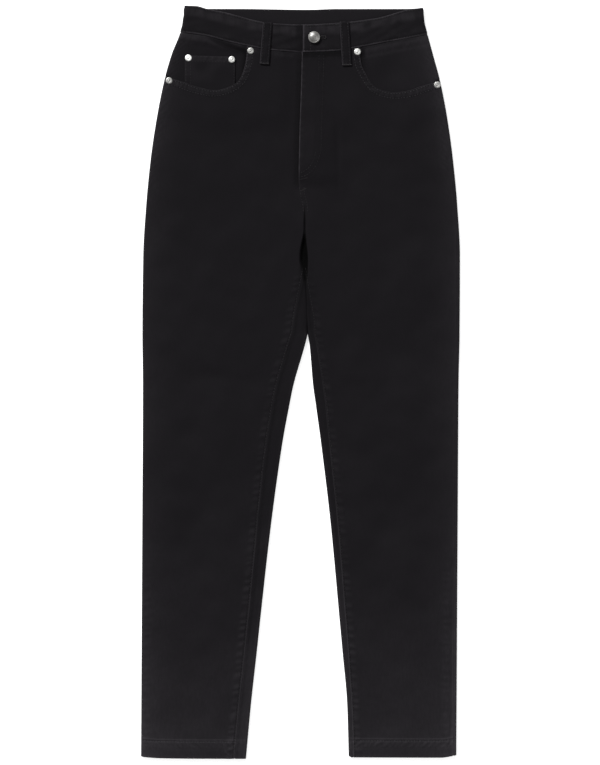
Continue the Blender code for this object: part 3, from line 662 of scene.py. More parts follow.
class Nodes:
    """Short calls for a material's node tree."""

    def __init__(self, name):
        self.material = bpy.data.materials.new(name)
        self.material.use_nodes = True
        self.tree = self.material.node_tree
        self.shader = self.tree.nodes["Principled BSDF"]
        self.object_place = self.add("ShaderNodeTexCoord").outputs["Object"]

    def put(self, socket, value):
        if isinstance(value, bpy.types.NodeSocket):
            self.tree.links.new(value, socket)
        else:
            socket.default_value = value

    def add(self, kind, inputs=None, **settings):
        node = self.tree.nodes.new(kind)
        for key, value in settings.items():
            setattr(node, key, value)
        for key, value in (inputs or {}).items():
            self.put(node.inputs[key], value)
        return node

    def set(self, **values):
        for key, value in values.items():
            self.put(self.shader.inputs[key.replace("_", " ")], value)

    def maths(self, operation, *values):
        inputs = dict(enumerate(values))
        return self.add("ShaderNodeMath", inputs, operation=operation).outputs[0]

    def ramp(self, value, low, high, to_low=0.0, to_high=1.0):
        inputs = {0: value, 1: low, 2: high, 3: to_low, 4: to_high}
        return self.add("ShaderNodeMapRange", inputs).outputs[0]

    def mix(self, share, first, second, blend="MIX"):
        inputs = {0: share, 6: first, 7: second}
        return self.add("ShaderNodeMix", inputs, data_type="RGBA", blend_type=blend).outputs[2]

    def noise(self, place, scale, detail, roughness):
        inputs = {"Vector": place, "Scale": scale, "Detail": detail, "Roughness": roughness}
        return self.add("ShaderNodeTexNoise", inputs).outputs["Fac"]

    def stretched(self, scale, detail, roughness):
        """Noise at this scale along each axis."""
        place = self.add("ShaderNodeMapping", {"Vector": self.object_place, "Scale": scale})
        return self.noise(place.outputs[0], 1.0, detail, roughness)

    def times(self, *values):
        product = values[0]
        for value in values[1:]:
            product = self.maths("MULTIPLY", product, value)
        return product

    def relief(self, height, strength, distance):
        inputs = {"Height": height, "Strength": strength, "Distance": distance}
        return self.add("ShaderNodeBump", inputs).outputs[0]

    def grey(self, value):
        return self.add("ShaderNodeCombineColor", {0: value, 1: value, 2: value}).outputs[0]


def black_denim(name, dark, worn):
    """Black twill: fine slanted ribs and an even dye. The attribute above 0 moves it towards the worn
    colour, for wear and painted highlights on edges and ridges; below 0 it darkens it: painted shade in
    folds, beside overlapping edges and where parts touch, and darker stitch rows."""
    nodes = Nodes(name)
    place = nodes.object_place
    ribs = nodes.add(
        "ShaderNodeTexWave",
        {"Vector": place, "Scale": 480.0, "Distortion": 2.0, "Detail": 2.0, "Detail Scale": 2.0},
        wave_type="BANDS",
        bands_direction="DIAGONAL",
    ).outputs["Fac"]
    yarn = nodes.noise(place, 1400.0, 2.0, 0.6)
    slub = nodes.stretched((420.0, 130.0, 420.0), 2.0, 0.6)
    blotch = nodes.noise(place, 30.0, 4.0, 0.6)
    wear_and_painted_light = nodes.add("ShaderNodeAttribute", attribute_name="wear_and_painted_light").outputs["Fac"]
    # above 0: wear, and painted highlights on edges, seams and pucker tops
    rubbed = nodes.times(nodes.maths("MAXIMUM", wear_and_painted_light, 0.0), nodes.ramp(slub, 0.3, 0.7, 0.88, 1.12))
    cloth = nodes.mix(nodes.maths("MINIMUM", rubbed, 1.0), (*dark, 1), (*worn, 1))
    # below 0: painted shade in folds, beside overlapping edges and where parts touch, and darker stitch
    # rows
    painted_shade_and_darker_rows = nodes.maths("MAXIMUM", nodes.times(wear_and_painted_light, -1.0), 0.0)
    tone = nodes.times(
        nodes.ramp(blotch, 0.3, 0.7, 0.97, 1.03),
        nodes.ramp(slub, 0.3, 0.7, 0.94, 1.06),
        nodes.ramp(ribs, 0.0, 1.0, 0.86, 1.14),
        nodes.maths("SUBTRACT", 1.0, painted_shade_and_darker_rows),
    )
    height = nodes.maths("ADD", nodes.times(ribs, 0.6), nodes.times(yarn, 0.5))
    nodes.set(
        Base_Color=nodes.mix(1.0, cloth, nodes.grey(tone), "MULTIPLY"),
        Normal=nodes.relief(height, 0.30, 0.00015),
        Roughness=nodes.ramp(wear_and_painted_light, -0.9, 0.0, 1.0, 0.72),
        Specular_IOR_Level=0.10,
    )
    return nodes.material


def sewing_thread(name, dark, light):
    """Twisted sewing thread, a little smoother than the cloth."""
    nodes = Nodes(name)
    inputs = {"Vector": nodes.object_place, "Scale": 900.0}
    twist = nodes.add("ShaderNodeTexWave", inputs, bands_direction="DIAGONAL").outputs["Fac"]
    colour = nodes.mix(twist, (*dark, 1), (*light, 1))
    nodes.set(Base_Color=colour, Roughness=0.55, Specular_IOR_Level=0.25)
    return nodes.material


def silver(name, dark, light, roughness):
    """Silver with fine brushing, from satin to matt."""
    nodes = Nodes(name)
    brushing = nodes.stretched((160.0, 2600.0, 400.0), 3.0, 0.5)
    nodes.set(
        Base_Color=nodes.mix(nodes.ramp(brushing, 0.3, 0.7), (*dark, 1), (*light, 1)),
        Metallic=1.0,
        Roughness=nodes.ramp(brushing, 0.3, 0.7, roughness, roughness + 0.08),
        Normal=nodes.relief(brushing, 0.08, 0.00005),
    )
    return nodes.material


DENIM_LOOK = black_denim("black_denim", (0.0039, 0.0032, 0.0044), (0.060, 0.055, 0.062))
THREAD_LOOK = sewing_thread("black_thread", (0.008, 0.007, 0.008), (0.022, 0.020, 0.022))
WORN_THREAD_LOOK = sewing_thread("worn_thread", (0.020, 0.019, 0.021), (0.040, 0.038, 0.042))
TACK_LOOK = sewing_thread("tack_thread", (0.016, 0.015, 0.016), (0.036, 0.034, 0.036))
FLY_TACK_LOOK = sewing_thread("fly_tack_thread", (0.006, 0.005, 0.006), (0.016, 0.014, 0.015))
BUTTON_LOOK = silver("brushed_silver", (0.225, 0.222, 0.212), (0.32, 0.314, 0.304), 0.42)
# The rivets are one silver in three brightnesses, a painted reflection for how the light falls on each
RIVET_SHADED_LOOK = silver("rivet_silver_painted_dark", (0.36, 0.36, 0.35), (0.48, 0.48, 0.46), 0.50)
RIVET_HALF_LIT_LOOK = silver("rivet_silver_painted_mid", (0.62, 0.62, 0.60), (0.76, 0.76, 0.74), 0.54)
RIVET_LIT_COPIES = {  # the others get the darkest copy
    "rivet_coin_outer": silver("rivet_silver_painted_bright", (0.86, 0.86, 0.84), (0.95, 0.95, 0.93), 0.56),
    "rivet_coin_inner": RIVET_HALF_LIT_LOOK,
    "rivet_left_top": RIVET_HALF_LIT_LOOK,
}

# ---------------------------------------------------------------- fronts


def crotch_fold(x, y):
    """How deep a point is in the fold at the crotch, 0 to 1: it sets the fold's depth and its painted
    shade.
    """
    left, right, deep = (smooth(CROTCH_FOLD, column, y) for column in ("left", "right", "deep"))
    soft = 0.0009 + 0.0018 * ease(0.198 - y, 0.0, 0.024)
    return ease(x, left - soft, left + soft) * (1 - ease(x, right - 0.0009, right + 0.0004)) * deep


def fold_depth(x, y):
    return FOLD_DEPTH * crotch_fold(x, y) ** 1.25


def trough_depth(x, y):
    """Depth of the soft troughs: a bell across each one, fading out at its ends."""
    depth = 0.0
    for x0, y0, x1, y1, half_width, deep in zip(*TROUGHS.values()):
        along = np.array((x1 - x0, y1 - y0))
        t = ((x - x0) * along[0] + (y - y0) * along[1]) / (along @ along)
        away = np.hypot(x - x0 - t * along[0], y - y0 - t * along[1])
        ends = ease(t, -0.15, 0.25) * (1 - ease(t, 0.75, 1.15))
        depth = depth + deep * ends * bump(away, 0.0, half_width)
    return depth


def hem_thickening(y):
    """Rise of the top over a turned hem."""
    top = HEM_LEVEL + HEM_DEPTH
    return HEM_RISE * (1 - ease(y, top - 0.0015, top))


def front_top(side, x, y):
    """Top of a front: lifted over the pocket facings, and the left one over the right."""
    off_centre = x - centre_line(y)
    lift = ease(y, 0.335, 0.375)
    if side == "right":
        lift = lift * (1 - ease(off_centre, -0.032, -0.006))
    else:
        over_fly = ease(y, FLY_END, 0.285) * (1 - ease(off_centre, 0.030, 0.070))
        lift = np.maximum(lift, over_fly)
    sunk = trough_depth(x, y) + fold_depth(x, y)
    return LEG_TOP + PANEL_LIFT * lift + hem_thickening(y) - sunk


def mouth_path(side):
    """A pocket mouth in (arc, y) on its front, from the waistband to past the side fold."""
    plan = curve_through(POCKET_MOUTH[side], 16)
    fold = side_fold(side, plan[:, 1])
    plan = plan[np.abs(plan[:, 0]) < np.abs(fold) - 0.00005]
    path = np.stack([arc_over(side, plan[:, 0], plan[:, 1]), plan[:, 1]], -1)
    end = path[-1]
    reach, drop = end - path[-12]
    last = (MOUTH_END, end[1] + drop / reach * (MOUTH_END - end[0]))
    return even_path(np.vstack([path, last]), 0.0024)


MOUTHS = {side: mouth_path(side) for side in POCKET_MOUTH}


def front_places(side, x, y, arc):
    """Where points of a front lie beside its seams and edges, for its form and its wear."""
    seams = inseam_at(side, y)
    along_mouth, into_mouth = beside(MOUTHS[side], arc, y)
    return SimpleNamespace(
        near_side=arc - outseam_at(side, y),
        near_inner=arc_length(side, y, underlap(side, y)) - seams - arc,
        above_hem=y - hem_edge(x),
        below_band=band_seam(x) - y,
        along_mouth=along_mouth,
        into_mouth=into_mouth,
        at_mouth=1 - ease(y, 0.462, 0.470),
        off_centre=x - centre_line(y),
        fly_row=fly_stitch_offset(y),
        on_fly=ease(y, FLY_CURVE_FOOT, FLY_CURVE_FOOT + 0.012),
        strength=0.34 + 0.66 * ease(-y, -0.02, 0.40),  # seams rub most towards the hems
    )


def fly_stitch_offset(y):
    """How far the fly's J stitching lies from the centre line: straight, then a quarter oval."""
    t = np.clip((FLY_CURVE_TOP - y) / (FLY_CURVE_TOP - FLY_CURVE_FOOT), 0, 1)
    return FLY_WIDTH * np.sqrt(np.clip(1 - t**2, 0, 1))


def front_puckers(side, x, y, at):
    """Height of a front's puckers, and their wear and painted highlight on the tops."""
    slant = -0.9 * OUTWARD[side]
    by_inseam = (1 - ease(y, CROTCH - 0.03, CROTCH + 0.01)) * (0.72 + 0.50 * ease(-y, 0.18, 0.36))
    by_fly = ease(y, VALLEY_TOP - 0.02, 0.25) * (1.0 if side == "left" else 0.4)
    from_fly = at.near_inner - underlap(side, y)
    rows = (
        # run, distance, pitch, reach, slant, seed, height, wear and painted highlight, strength
        (y, at.near_inner - 0.0012, 0.0109, 0.0125, 0.12, 0, 0.00100, 0.070, by_inseam),
        (y, at.near_side - 0.0040, 0.0109, 0.0150, -0.15, 3, 0.00055, 0.050, ease(-y, 0.18, 0.34)),
        (y, at.near_side - 0.0010, 0.0080, 0.0170, -0.90, 4, 0.00045, 0.060, ease(y, 0.20, 0.34)),
        (x, at.above_hem - 0.0125, 0.0090, 0.0150, slant, 5, 0.00065, 0.040, 1.0),
        (x, at.above_hem, 0.0075, 0.0060, slant, 6, 0.00025, 0.020, 1.0),
        (x, at.below_band - 0.0010, 0.0125, 0.0130, 0.20, 7, 0.00050, 0.030, 1.0),
        (at.along_mouth, at.into_mouth - 0.0008, 0.0076, 0.0110, 0.40, 9, 0.00060, 0.040, at.at_mouth),
        (y, from_fly, 0.0110, 0.0090, 0.30, 21, 0.00045, 0.030, by_fly),
    )
    height = wear_and_painted_light = 0.0
    for run, away, pitch, reach, lean, seed, high, worn, strength in rows:
        rib = strength * roping(run, away, pitch, reach, lean, SEEDS[side] + seed)
        height, wear_and_painted_light = height + high * rib, wear_and_painted_light + worn * rib
    return height, wear_and_painted_light


def front_relief(side, x, y, arc):
    """Height of the sewing and creases on a front: seams, puckers, hem, fly and pocket mouth."""
    seed = SEEDS[side]
    at = front_places(side, x, y, arc)
    on_leg = 1 - ease(y, CROTCH - 0.01, CROTCH + 0.03)
    felled = 0.00045 * at.strength * (1 - ease(at.near_inner, 0.0012, 0.0026))
    outseam = 0.00030 * at.strength * bump(at.near_side, 0.0004, 0.0012)
    mouth_hem = 0.00026 * (1 - ease(at.into_mouth, MOUTH_ROWS[1], MOUTH_ROWS[1] + 0.0016))
    mouth_dips = bumps(at.into_mouth, *((0.00022, row, 0.0006) for row in MOUTH_ROWS))
    height = (
        front_puckers(side, x, y, at)[0]
        + on_leg * (felled - 0.00014 * bump(at.near_inner, INSEAM_ROW, 0.0006))
        + outseam * (1 - ease(y, 0.36, 0.40))
        + bumps(at.above_hem, (0.00040, HEM_RIDGE, 0.0011), (-0.00030, HEM_ROW, 0.0009))
        + at.at_mouth * (mouth_hem - mouth_dips)
        + 0.00016 * waves(x, y, seed + 17, 0.085)
        + 0.00008 * waves(x, y, seed + 19, 0.034)
    )
    if side == "right":
        return height
    from_row = at.fly_row - at.off_centre
    fly = (
        0.00030 * (1 - ease(-from_row, 0.0, 0.0020))
        - bumps(from_row, (0.00030, 0.0, 0.0010), (0.00030, DOUBLE_ROW, 0.0010))
        + 0.00026 * roping(y, from_row + 0.004, 0.0109, 0.012, -0.3, seed + 23)
    )
    return height + at.on_fly * fly


def under_band(seam, y):
    """How far a panel has gone under the waistband, 0 to 1."""
    return ease(y - seam, -0.0012, 0.0008)


def front_point(side, y, arc):
    """Point and outward direction of the finished front at an arc of its ring."""
    extra = underlap(side, y)
    x = ring(side, y, arc, LEG_TOP, extra)[0][..., 0]
    top = front_top(side, x, y) + front_relief(side, x, y, arc)
    points, outward = ring(side, y, arc, top, extra)
    return points - outward * (TUCK * under_band(band_seam(x), y))[..., None], outward


def leg_wear_and_painted_light(x, y):
    """Wear and painted light of the legs: the table's middle, its side folds (fade, and painted light on
    the rounding) fading inwards as exp of minus the distance, the hem, painted shade where the thighs
    touch, and a faint mottle."""
    wear_and_painted_light = {column: smooth(LEG_WEAR_AND_FOLD_LIGHT, column, y) for column in ("middle", "right", "left")}
    off_centre = x - centre_line(y)
    on_left = off_centre > 0
    away = np.where(on_left, side_fold("left", y) - x, x - side_fold("right", y))
    at_fold = np.where(on_left, wear_and_painted_light["left"], wear_and_painted_light["right"])
    above_hem = y - hem_edge(x)
    in_hem = 1 - ease(above_hem, HEM_RIDGE, HEM_RIDGE + 0.002)
    thighs = ease(y, LEGS_PART, LEGS_PART + 0.01) * (1 - ease(y, 0.150, 0.175))
    return (
        wear_and_painted_light["middle"]
        # the side folds paler: fade, and painted light on the rounded folds
        + at_fold * np.exp(-np.maximum(away, 0) / FOLD_FADE)
        + in_hem * (0.022 - 0.020 * (1 - ease(above_hem, 0.0095, 0.0120)))
        # painted shade along the line where the thighs touch
        - 0.25 * thighs * bump(off_centre, 0.0, 0.0080)
        + 0.010 * waves(x, y, 5, 0.05)
        + 0.008 * waves(x, y, 6, 0.16)
    )


def front_wear_and_painted_light(side, x, y, arc):
    """Wear and painted light of a front: edges, seams, hem and pucker tops paler, partly wear and partly
    painted highlight, and painted shade in the crotch fold, beside the fly and under the waistband.
    """
    is_left = side == "left"
    at = front_places(side, x, y, arc)
    on_leg = 1 - ease(y, CROTCH - 0.03, CROTCH)
    # paler seam edges, partly wear and partly painted highlight
    inseam = at.strength * (0.27 if is_left else 0.18) * bump(at.near_inner, 0.0004, 0.0011)
    outseam = (0.12 if is_left else 0.04) * bump(at.near_side, 0.0006, 0.0014)
    beside_mouth = (1 - ease(at.into_mouth, 0.0085, 0.0125)) * at.at_mouth
    upper_mouth = (-0.035 if is_left else 0.025) * ease(y, 0.405, 0.430)
    wear_and_painted_light = (
        leg_wear_and_painted_light(x, y)
        + front_puckers(side, x, y, at)[1]
        + bumps(at.above_hem, (0.085, 0.0010, 0.0014), (0.085, HEM_RIDGE, 0.0012))
        + on_leg * (inseam - 0.10 * bump(at.near_inner, INSEAM_ROW, 0.0008))
        + outseam * (0.15 + 0.85 * ease(-y, 0.20, 0.44))
        + 0.03 * ease(y, 0.40, 0.43) * bump(at.below_band, 0.0050, 0.0018)
        + beside_mouth * (0.024 + upper_mouth)
        - 120.0 * np.minimum(trough_depth(x, y), 0.0)  # the ridges
        # painted shade deep in the crotch fold
        - 1.2 * crotch_fold(x, y)
    )
    if not is_left:
        # painted shadow on the right front beside the left front's fly edge
        by_fly = ease(y, FLY_END, FLY_END + 0.010) * (1 - ease(-at.off_centre, 0.0050, 0.0105))
        return wear_and_painted_light - 0.30 * by_fly
    # the fly edge paler, partly wear and partly painted highlight
    line = 0.28 * (1 + 0.30 * uneven(y, 31, 0.020)) * ease(y, FLY_END, FLY_END + 0.030)
    below, from_row = at.below_band, at.off_centre - at.fly_row
    # painted shadow on the left front just under the waistband, by the fly
    shadow_under_band = 0.40 * (1 - ease(below, 0.0060, 0.0085)) + 0.12 * (1 - ease(below, 0.0030, 0.0045))
    rows = bumps(from_row, (0.10, 0.0, 0.0012), (0.10, -DOUBLE_ROW, 0.0012))
    return (
        wear_and_painted_light
        + line * bump(at.near_inner, 0.0002, 0.0012)
        - shadow_under_band * (1 - ease(x, 0.060, 0.072)) * ease(at.near_inner, 0.0008, 0.0024)
        + at.on_fly * (0.012 * (1 - ease(from_row, 0.0, 0.004)) - rows)
    )


def front_cloth(side):
    """A front panel, without the strip beside its pocket mouth."""
    shares, steps = lay_columns(
        (0, 0.4, 0.9, 1.5, 2.2, 2.9, 3.6, 4.3, 5.2, 6.4, 7.8, 9.4, 11.2),
        58,
        (0, 0.4, 0.9, 1.4, 1.9, 2.4, 3.0, 3.8, 4.7, 5.6, 6.5, 7.3, 7.9, 8.4, 8.9, 9.6, 10.5, 11.6, 13.0),
    )
    stations = np.r_[
        np.linspace(HEM_LEVEL, ABOVE_HEM, 40)[:-1],
        np.linspace(ABOVE_HEM, 0.456, 440)[:-1],
        np.linspace(0.456, SIDE_TOP + 0.002, 22),
    ]

    def lap(y):
        return underlap(side, y)

    def arc_at(y):
        first = outseam_at(side, y) + MEET
        last = arc_length(side, y, lap(y)) - inseam_at(side, y) - MEET
        return first * (1 - shares) + last * shares + steps

    def edges_at(x):
        return hem_edge(x) + FOLD_TURN, band_seam(x) + UNDER_BAND

    rows, arc = fit_rows(side, stations, arc_at, edges_at, ABOVE_HEM, BELOW_WAIST, lap)
    points, outward = front_point(side, rows, arc)
    wear_and_painted_light = front_wear_and_painted_light(side, points[..., 0], rows, arc)
    fly = ease(stations, FLY_END - 0.006, FLY_END + 0.004) * (side == "left")
    fly_edge = EDGE_TURN + (FOLD_TURN - EDGE_TURN) * fly
    points, faces, wear_and_painted_light = cloth_grid(points, outward, wear_and_painted_light, last=fly_edge, first=EDGE_TURN, low=FOLD_TURN)
    x, y = points[:, 0], points[:, 1]
    near_pocket = (y > 0.380) & (np.abs(x) > 0.050)
    x, y = x[near_pocket], y[near_pocket]
    into = np.full(len(points), 1.0)
    into[near_pocket] = beside(MOUTHS[side], arc_over(side, x, y), y)[1]
    faces = faces[~(into[faces] < MOUTH_STRIP - 0.004).any(axis=1)]
    used, new_index = np.unique(faces, return_inverse=True)
    return points[used], new_index.reshape(faces.shape), wear_and_painted_light[used]


def mouth_strip(side):
    """The strip of a front along its pocket mouth, from under its rolled edge inwards.

    Its grid is (run along the mouth, distance in). Past the roll it lies a hair over the
    front, and its far edge goes just under it.
    """
    path = even_path(MOUTHS[side], 0.0012)[:, None]
    inwards = to_left(heading(path[:, 0]))[:, None]
    turn = np.radians(np.linspace(180, 0, 9))
    level = np.linspace(FOLD_TURN, MOUTH_STRIP, 24)[1:]
    into = np.r_[0.0060, 0.0030, FOLD_TURN * (1 - np.sin(turn)), level]
    over = 0.00004 * (1 - ease(level, MOUTH_STRIP - 0.003, MOUTH_STRIP))
    over = over - 0.00008 * ease(level, MOUTH_STRIP - 0.002, MOUTH_STRIP)
    lift = np.r_[[-2 * FOLD_TURN] * 2, -FOLD_TURN * (1 - np.cos(turn)), over]
    arc, y = np.moveaxis(path + inwards * into[:, None], -1, 0)
    roll_arc, roll_y = np.moveaxis(path + inwards * np.maximum(into, FOLD_TURN)[:, None], -1, 0)
    arc = np.maximum(arc, MOUTH_END)
    points, outward = front_point(side, y, arc)
    roll_top = front_point(side, roll_y, np.maximum(roll_arc, MOUTH_END))[0]
    is_level = np.abs(outward[..., 2]) > 0.9
    points[..., 2] = np.where(is_level, roll_top[..., 2], points[..., 2])
    points = points + outward * lift[:, None]
    low, high = MOUTH_EDGE_WEAR_AND_HIGHLIGHT[side]
    # the rolled mouth edge paler, partly wear and partly painted highlight
    edge = np.exp(-((np.arange(len(into)) - 8.0) ** 2) / 5.0)  # most at the top of the roll
    upper = low + (high - low) * ease(path[..., 1], 0.405, 0.430)
    patchy = 1 + 0.3 * uneven(run_along(path[:, 0])[:, None], 37, 0.024)
    rows = bumps(into, *((0.10, row, 0.0009) for row in MOUTH_ROWS))
    wear_and_painted_light = edge * patchy * upper + front_wear_and_painted_light(side, points[..., 0], y, arc) - rows
    return grid_part(points, outward, wear_and_painted_light)


# ---------------------------------------------------------------- backs, yokes and facings


def back_relief(side, x, y, arc):
    """Roping beside the inseam where the back wraps over the top, and the hem."""
    seed = 71 if side == "right" else 83
    length = arc_length(side, y)
    on_top = (np.abs(arc) > length) * (1 - ease(y, CROTCH - 0.02, CROTCH))
    above_hem = y - hem_edge(x)
    sewing = (
        0.00024 * roping(y, length + inseam_at(side, y) + arc, 0.0107, 0.0070, -0.5, seed)
        + 0.00036 * roping(x, above_hem - 0.002, 0.0088, 0.0200, 0.75, seed + 5)
        + bumps(above_hem, (0.00028, HEM_RIDGE, 0.0010), (-0.00024, HEM_ROW, 0.0008))
    )
    return on_top * sewing + 0.00008 * waves(x, y, seed + 7, 0.05)


def back_point(side, y, arc):
    """Point and outward direction of the finished back or yoke at an arc of its ring."""
    x = ring(side, y, arc, LEG_TOP)[0][..., 0]
    top = LEG_TOP + hem_thickening(y) + back_relief(side, x, y, arc)
    points, outward = ring(side, y, arc, top - fold_depth(x, y))
    tuck = TUCK * under_band(height_at(BAND_SEAM_BACK, x), y)
    return points - outward * tuck[..., None], outward


def back_arcs(side, y):
    """Arcs from the outseam round the side fold, along the floor and round the inner fold."""
    seam = inseam_at(side, y)
    length = arc_length(side, y)
    fold = np.pi / 2 * inner_roll(y)
    first, last = outseam_at(side, y) - MEET, MEET - length - seam
    side_end = np.full_like(first, -np.pi / 2 * SIDE_ROLL)
    strip = np.maximum(seam - fold, 0.0008)
    knots = (first, side_end, fold - length, last + strip, last)
    columns = [i + np.linspace(0, 1, n, endpoint=False) for i, n in enumerate((12, 34, 14, 18))]
    share = np.concatenate([*columns, [4.0]])
    arc = first
    for i, (low, high) in enumerate(zip(knots[:-1], knots[1:])):
        arc = arc + (high - low) * np.clip(share - i, 0, 1)
    return arc


def back_cloth(side):
    """A back panel: flat underneath, and its strip on top beside the inseam."""
    low = np.linspace(HEM_LEVEL, ABOVE_HEM, 26)[:-1]
    stations = np.r_[low, np.linspace(ABOVE_HEM, YOKE_SIDE, 420)]

    def arc_at(y):
        return back_arcs(side, y)

    def edges_at(x):
        return hem_edge(x) + FOLD_TURN, height_at(YOKE_SEAM, x) - MEET

    rows, arc = fit_rows(side, stations, arc_at, edges_at, ABOVE_HEM, BELOW_WAIST)
    points, outward = back_point(side, rows, arc)
    x, y = points[..., 0], points[..., 1]
    length = arc_length(side, y)
    near_seam = length + inseam_at(side, y) + arc
    near_fold = np.abs(np.abs(arc) - length) - 0.0035
    on_leg = 1 - ease(y, CROTCH - 0.03, CROTCH)
    # painted shade on the back beside the inseam where it goes under, paler lower down, and a paler rim
    # by the inner fold, partly wear and partly painted highlight
    seam_shade, rubbed, rubbed_from, fold = (
        (0.24, 0.055, 0.28, 0.06) if side == "right" else (0.10, 0.100, 0.02, 0.0)
    )
    shade_by_seam = seam_shade * (1 - 0.75 * ease(-y, 0.08, 0.32)) * bump(near_seam, 0.0030, 0.0020)
    wear_and_painted_light = (
        leg_wear_and_painted_light(x, y)
        + rubbed * ease(-y, rubbed_from, 0.40)
        + bumps(y - hem_edge(x), (0.085, 0.0010, 0.0014), (0.075, HEM_RIDGE, 0.0012))
        + on_leg * (fold * bump(near_fold, 0.0, 0.0020) - shade_by_seam)
        # painted shade deep in the crotch fold
        - 1.2 * crotch_fold(x, y)
    )
    turn = EDGE_TURN
    return cloth_grid(points, outward, wear_and_painted_light, high=turn, last=turn, first=turn, low=FOLD_TURN)


def yoke_cloth(side):
    """A yoke: from the outseam round the side fold and along under the seat."""
    share = np.linspace(0, 1, 90) ** 1.35
    rise = np.linspace(0, 1, 30)[:, None]
    rows = np.full((30, 90), 0.45)
    for _ in range(3):
        first = outseam_at(side, rows) - MEET
        arc = first + (MEET - arc_length(side, rows) - first) * share
        x = ring(side, rows, arc, LEG_TOP)[0][..., 0]
        low = height_at(YOKE_SEAM, x) + MEET
        high = height_at(BAND_SEAM_BACK, x) + UNDER_BAND
        rows = low + (high - low) * rise
    points, outward = back_point(side, rows, arc)
    wear_and_painted_light = leg_wear_and_painted_light(points[..., 0], rows)
    return cloth_grid(points, outward, wear_and_painted_light, low=EDGE_TURN, first=EDGE_TURN, last=EDGE_TURN)


def facing_dip(x, y, half_width, start, end):
    """A soft dip that slants across the right facing: a bell about its line, fading at its ends. It sinks
    the facing and sets its painted shade.
    """
    (x0, x1), (y0, y1) = FACING_DIP.values()
    t = (x - x0) / (x1 - x0)
    return bump(y, y0 + (y1 - y0) * t, half_width) * ease(t, start, end) * (1 - ease(t, 0.9, 1.2))


def facing_top(side, x, y):
    """Top of a hip facing: flat, with gathers below the waistband and a soft slanting dip."""
    is_right = side == "right"
    inward = np.abs(side_fold(side, y) - x)
    below = band_seam(x) - y
    return (
        FACING_TOP[side]
        + 0.0009 * (1 - ease(inward, 0.002, 0.014)) * is_right
        + (BAND_TOP - BAND_GAP - FACING_TOP[side]) * (1 - ease(below, 0.0030, 0.0150))
        + 0.00036 * roping(x, below - 0.002, 0.0130, 0.0150, 0.3, 93 if is_right else 95)
        + 0.00030 * roping(y, inward - 0.001, *SIDE_GATHERS)
        + 0.00014 * waves(x, y, 91, 0.030, 1.8)
        + 0.00014 * waves(x, y, 92, 0.060)
        - 0.0012 * facing_dip(x, y, 0.0040, -0.6, 0.2) * is_right
    )


def facing_cloth(side):
    """The hip piece under a pocket mouth, from the side seam inwards and down under the front."""
    end = POCKET_END[side]
    stations = np.linspace(end - 0.028, SIDE_TOP + 0.002, 76)
    inner_x = POCKET_MOUTH[side][1][0] - OUTWARD[side] * 0.012
    shares, steps = lay_columns((0, 0.4, 0.9, 1.5, 2.2, 3.0, 3.9, 5.0, 6.5), 60, (0, 1.5))

    def arc_at(y):
        return MOUTH_END * (1 - shares) + arc_over(side, inner_x, y) * shares + steps

    def edges_at(x):
        return np.full_like(x, stations[0]), band_seam(x) + UNDER_BAND

    rows, arc = fit_rows(side, stations, arc_at, edges_at, stations[0] + 0.001, 0.430)
    x = ring(side, rows, arc, FACING_TOP[side])[0][..., 0]
    points, outward = ring(side, rows, arc, facing_top(side, x, rows))
    below = band_seam(x) - rows
    covered = (1 - ease(rows, end + 0.0005, end + 0.0030)) * (1 - ease(arc, 0.0045, 0.0090))
    inset = 0.0016 * covered + TUCK * under_band(band_seam(x), rows)
    points = points - outward * inset[..., None]
    if side == "right":
        # a paler ridge under the waistband, partly wear and partly painted highlight, and painted shade
        # in the trough below it and in the slanting dip
        wear_and_painted_light = 0.115 * bump(below, 0.0062, 0.0036) + 0.03 * (1 - ease(below, 0.001, 0.003))
        wear_and_painted_light = wear_and_painted_light - 0.060 * ease(below, 0.0125, 0.0155)
        wear_and_painted_light = wear_and_painted_light - 0.35 * facing_dip(x, rows, 0.0034, -0.5, 0.3)
    else:
        # a paler ridge under the waistband, partly wear and partly painted highlight
        wear_and_painted_light = 0.115 * bump(below, 0.0052, 0.0026)
        wear_and_painted_light = wear_and_painted_light + 0.075 * ease(below, 0.0050, 0.0085) * (1 - ease(below, 0.0130, 0.0190))
    inward = np.abs(side_fold(side, rows) - x)
    outside = -beside(MOUTHS[side], arc, rows)[1]
    wear_and_painted_light = (
        wear_and_painted_light
        + leg_wear_and_painted_light(x, rows)
        + 0.015
        + 0.05 * (roping(rows, inward - 0.001, *SIDE_GATHERS) - 0.2)
        # painted shadow on the facing just outside the pocket mouth's edge
        - 0.35 * bump(outside, 0.0020, 0.0035) * ease(rows, 0.415, 0.435)
    )
    return cloth_grid(points, outward, wear_and_painted_light, first=EDGE_TURN)


def coin_top(x, y):
    """Top of the coin pocket: a folded hem, roping beside its stitches, and a soft rumple."""
    from_top, from_left = coin_edge(x) - y, x - COIN_POCKET["left"]
    return (
        COIN_TOP
        + 0.00025 * (1 - ease(from_top, 0.0088, 0.0098))
        - bumps(from_top, *((0.00016, row, 0.0006) for row in COIN_ROWS))
        - bumps(from_left, *((0.00012, row, 0.0006) for row in COIN_SIDE_ROWS))
        + 0.00042 * roping(x, from_top, *COIN_ROPES, 101)
        + 0.00032 * roping(y, from_left, *COIN_ROPES, 103)
        + 0.00022 * waves(x, y, 105, 0.025)
    )


def coin_edge(x):
    """The coin pocket's top edge, a little lower towards the fly."""
    across = (x - COIN_POCKET["left"]) / (COIN_POCKET["right"] - COIN_POCKET["left"])
    return COIN_POCKET["top"] - 0.0018 * across


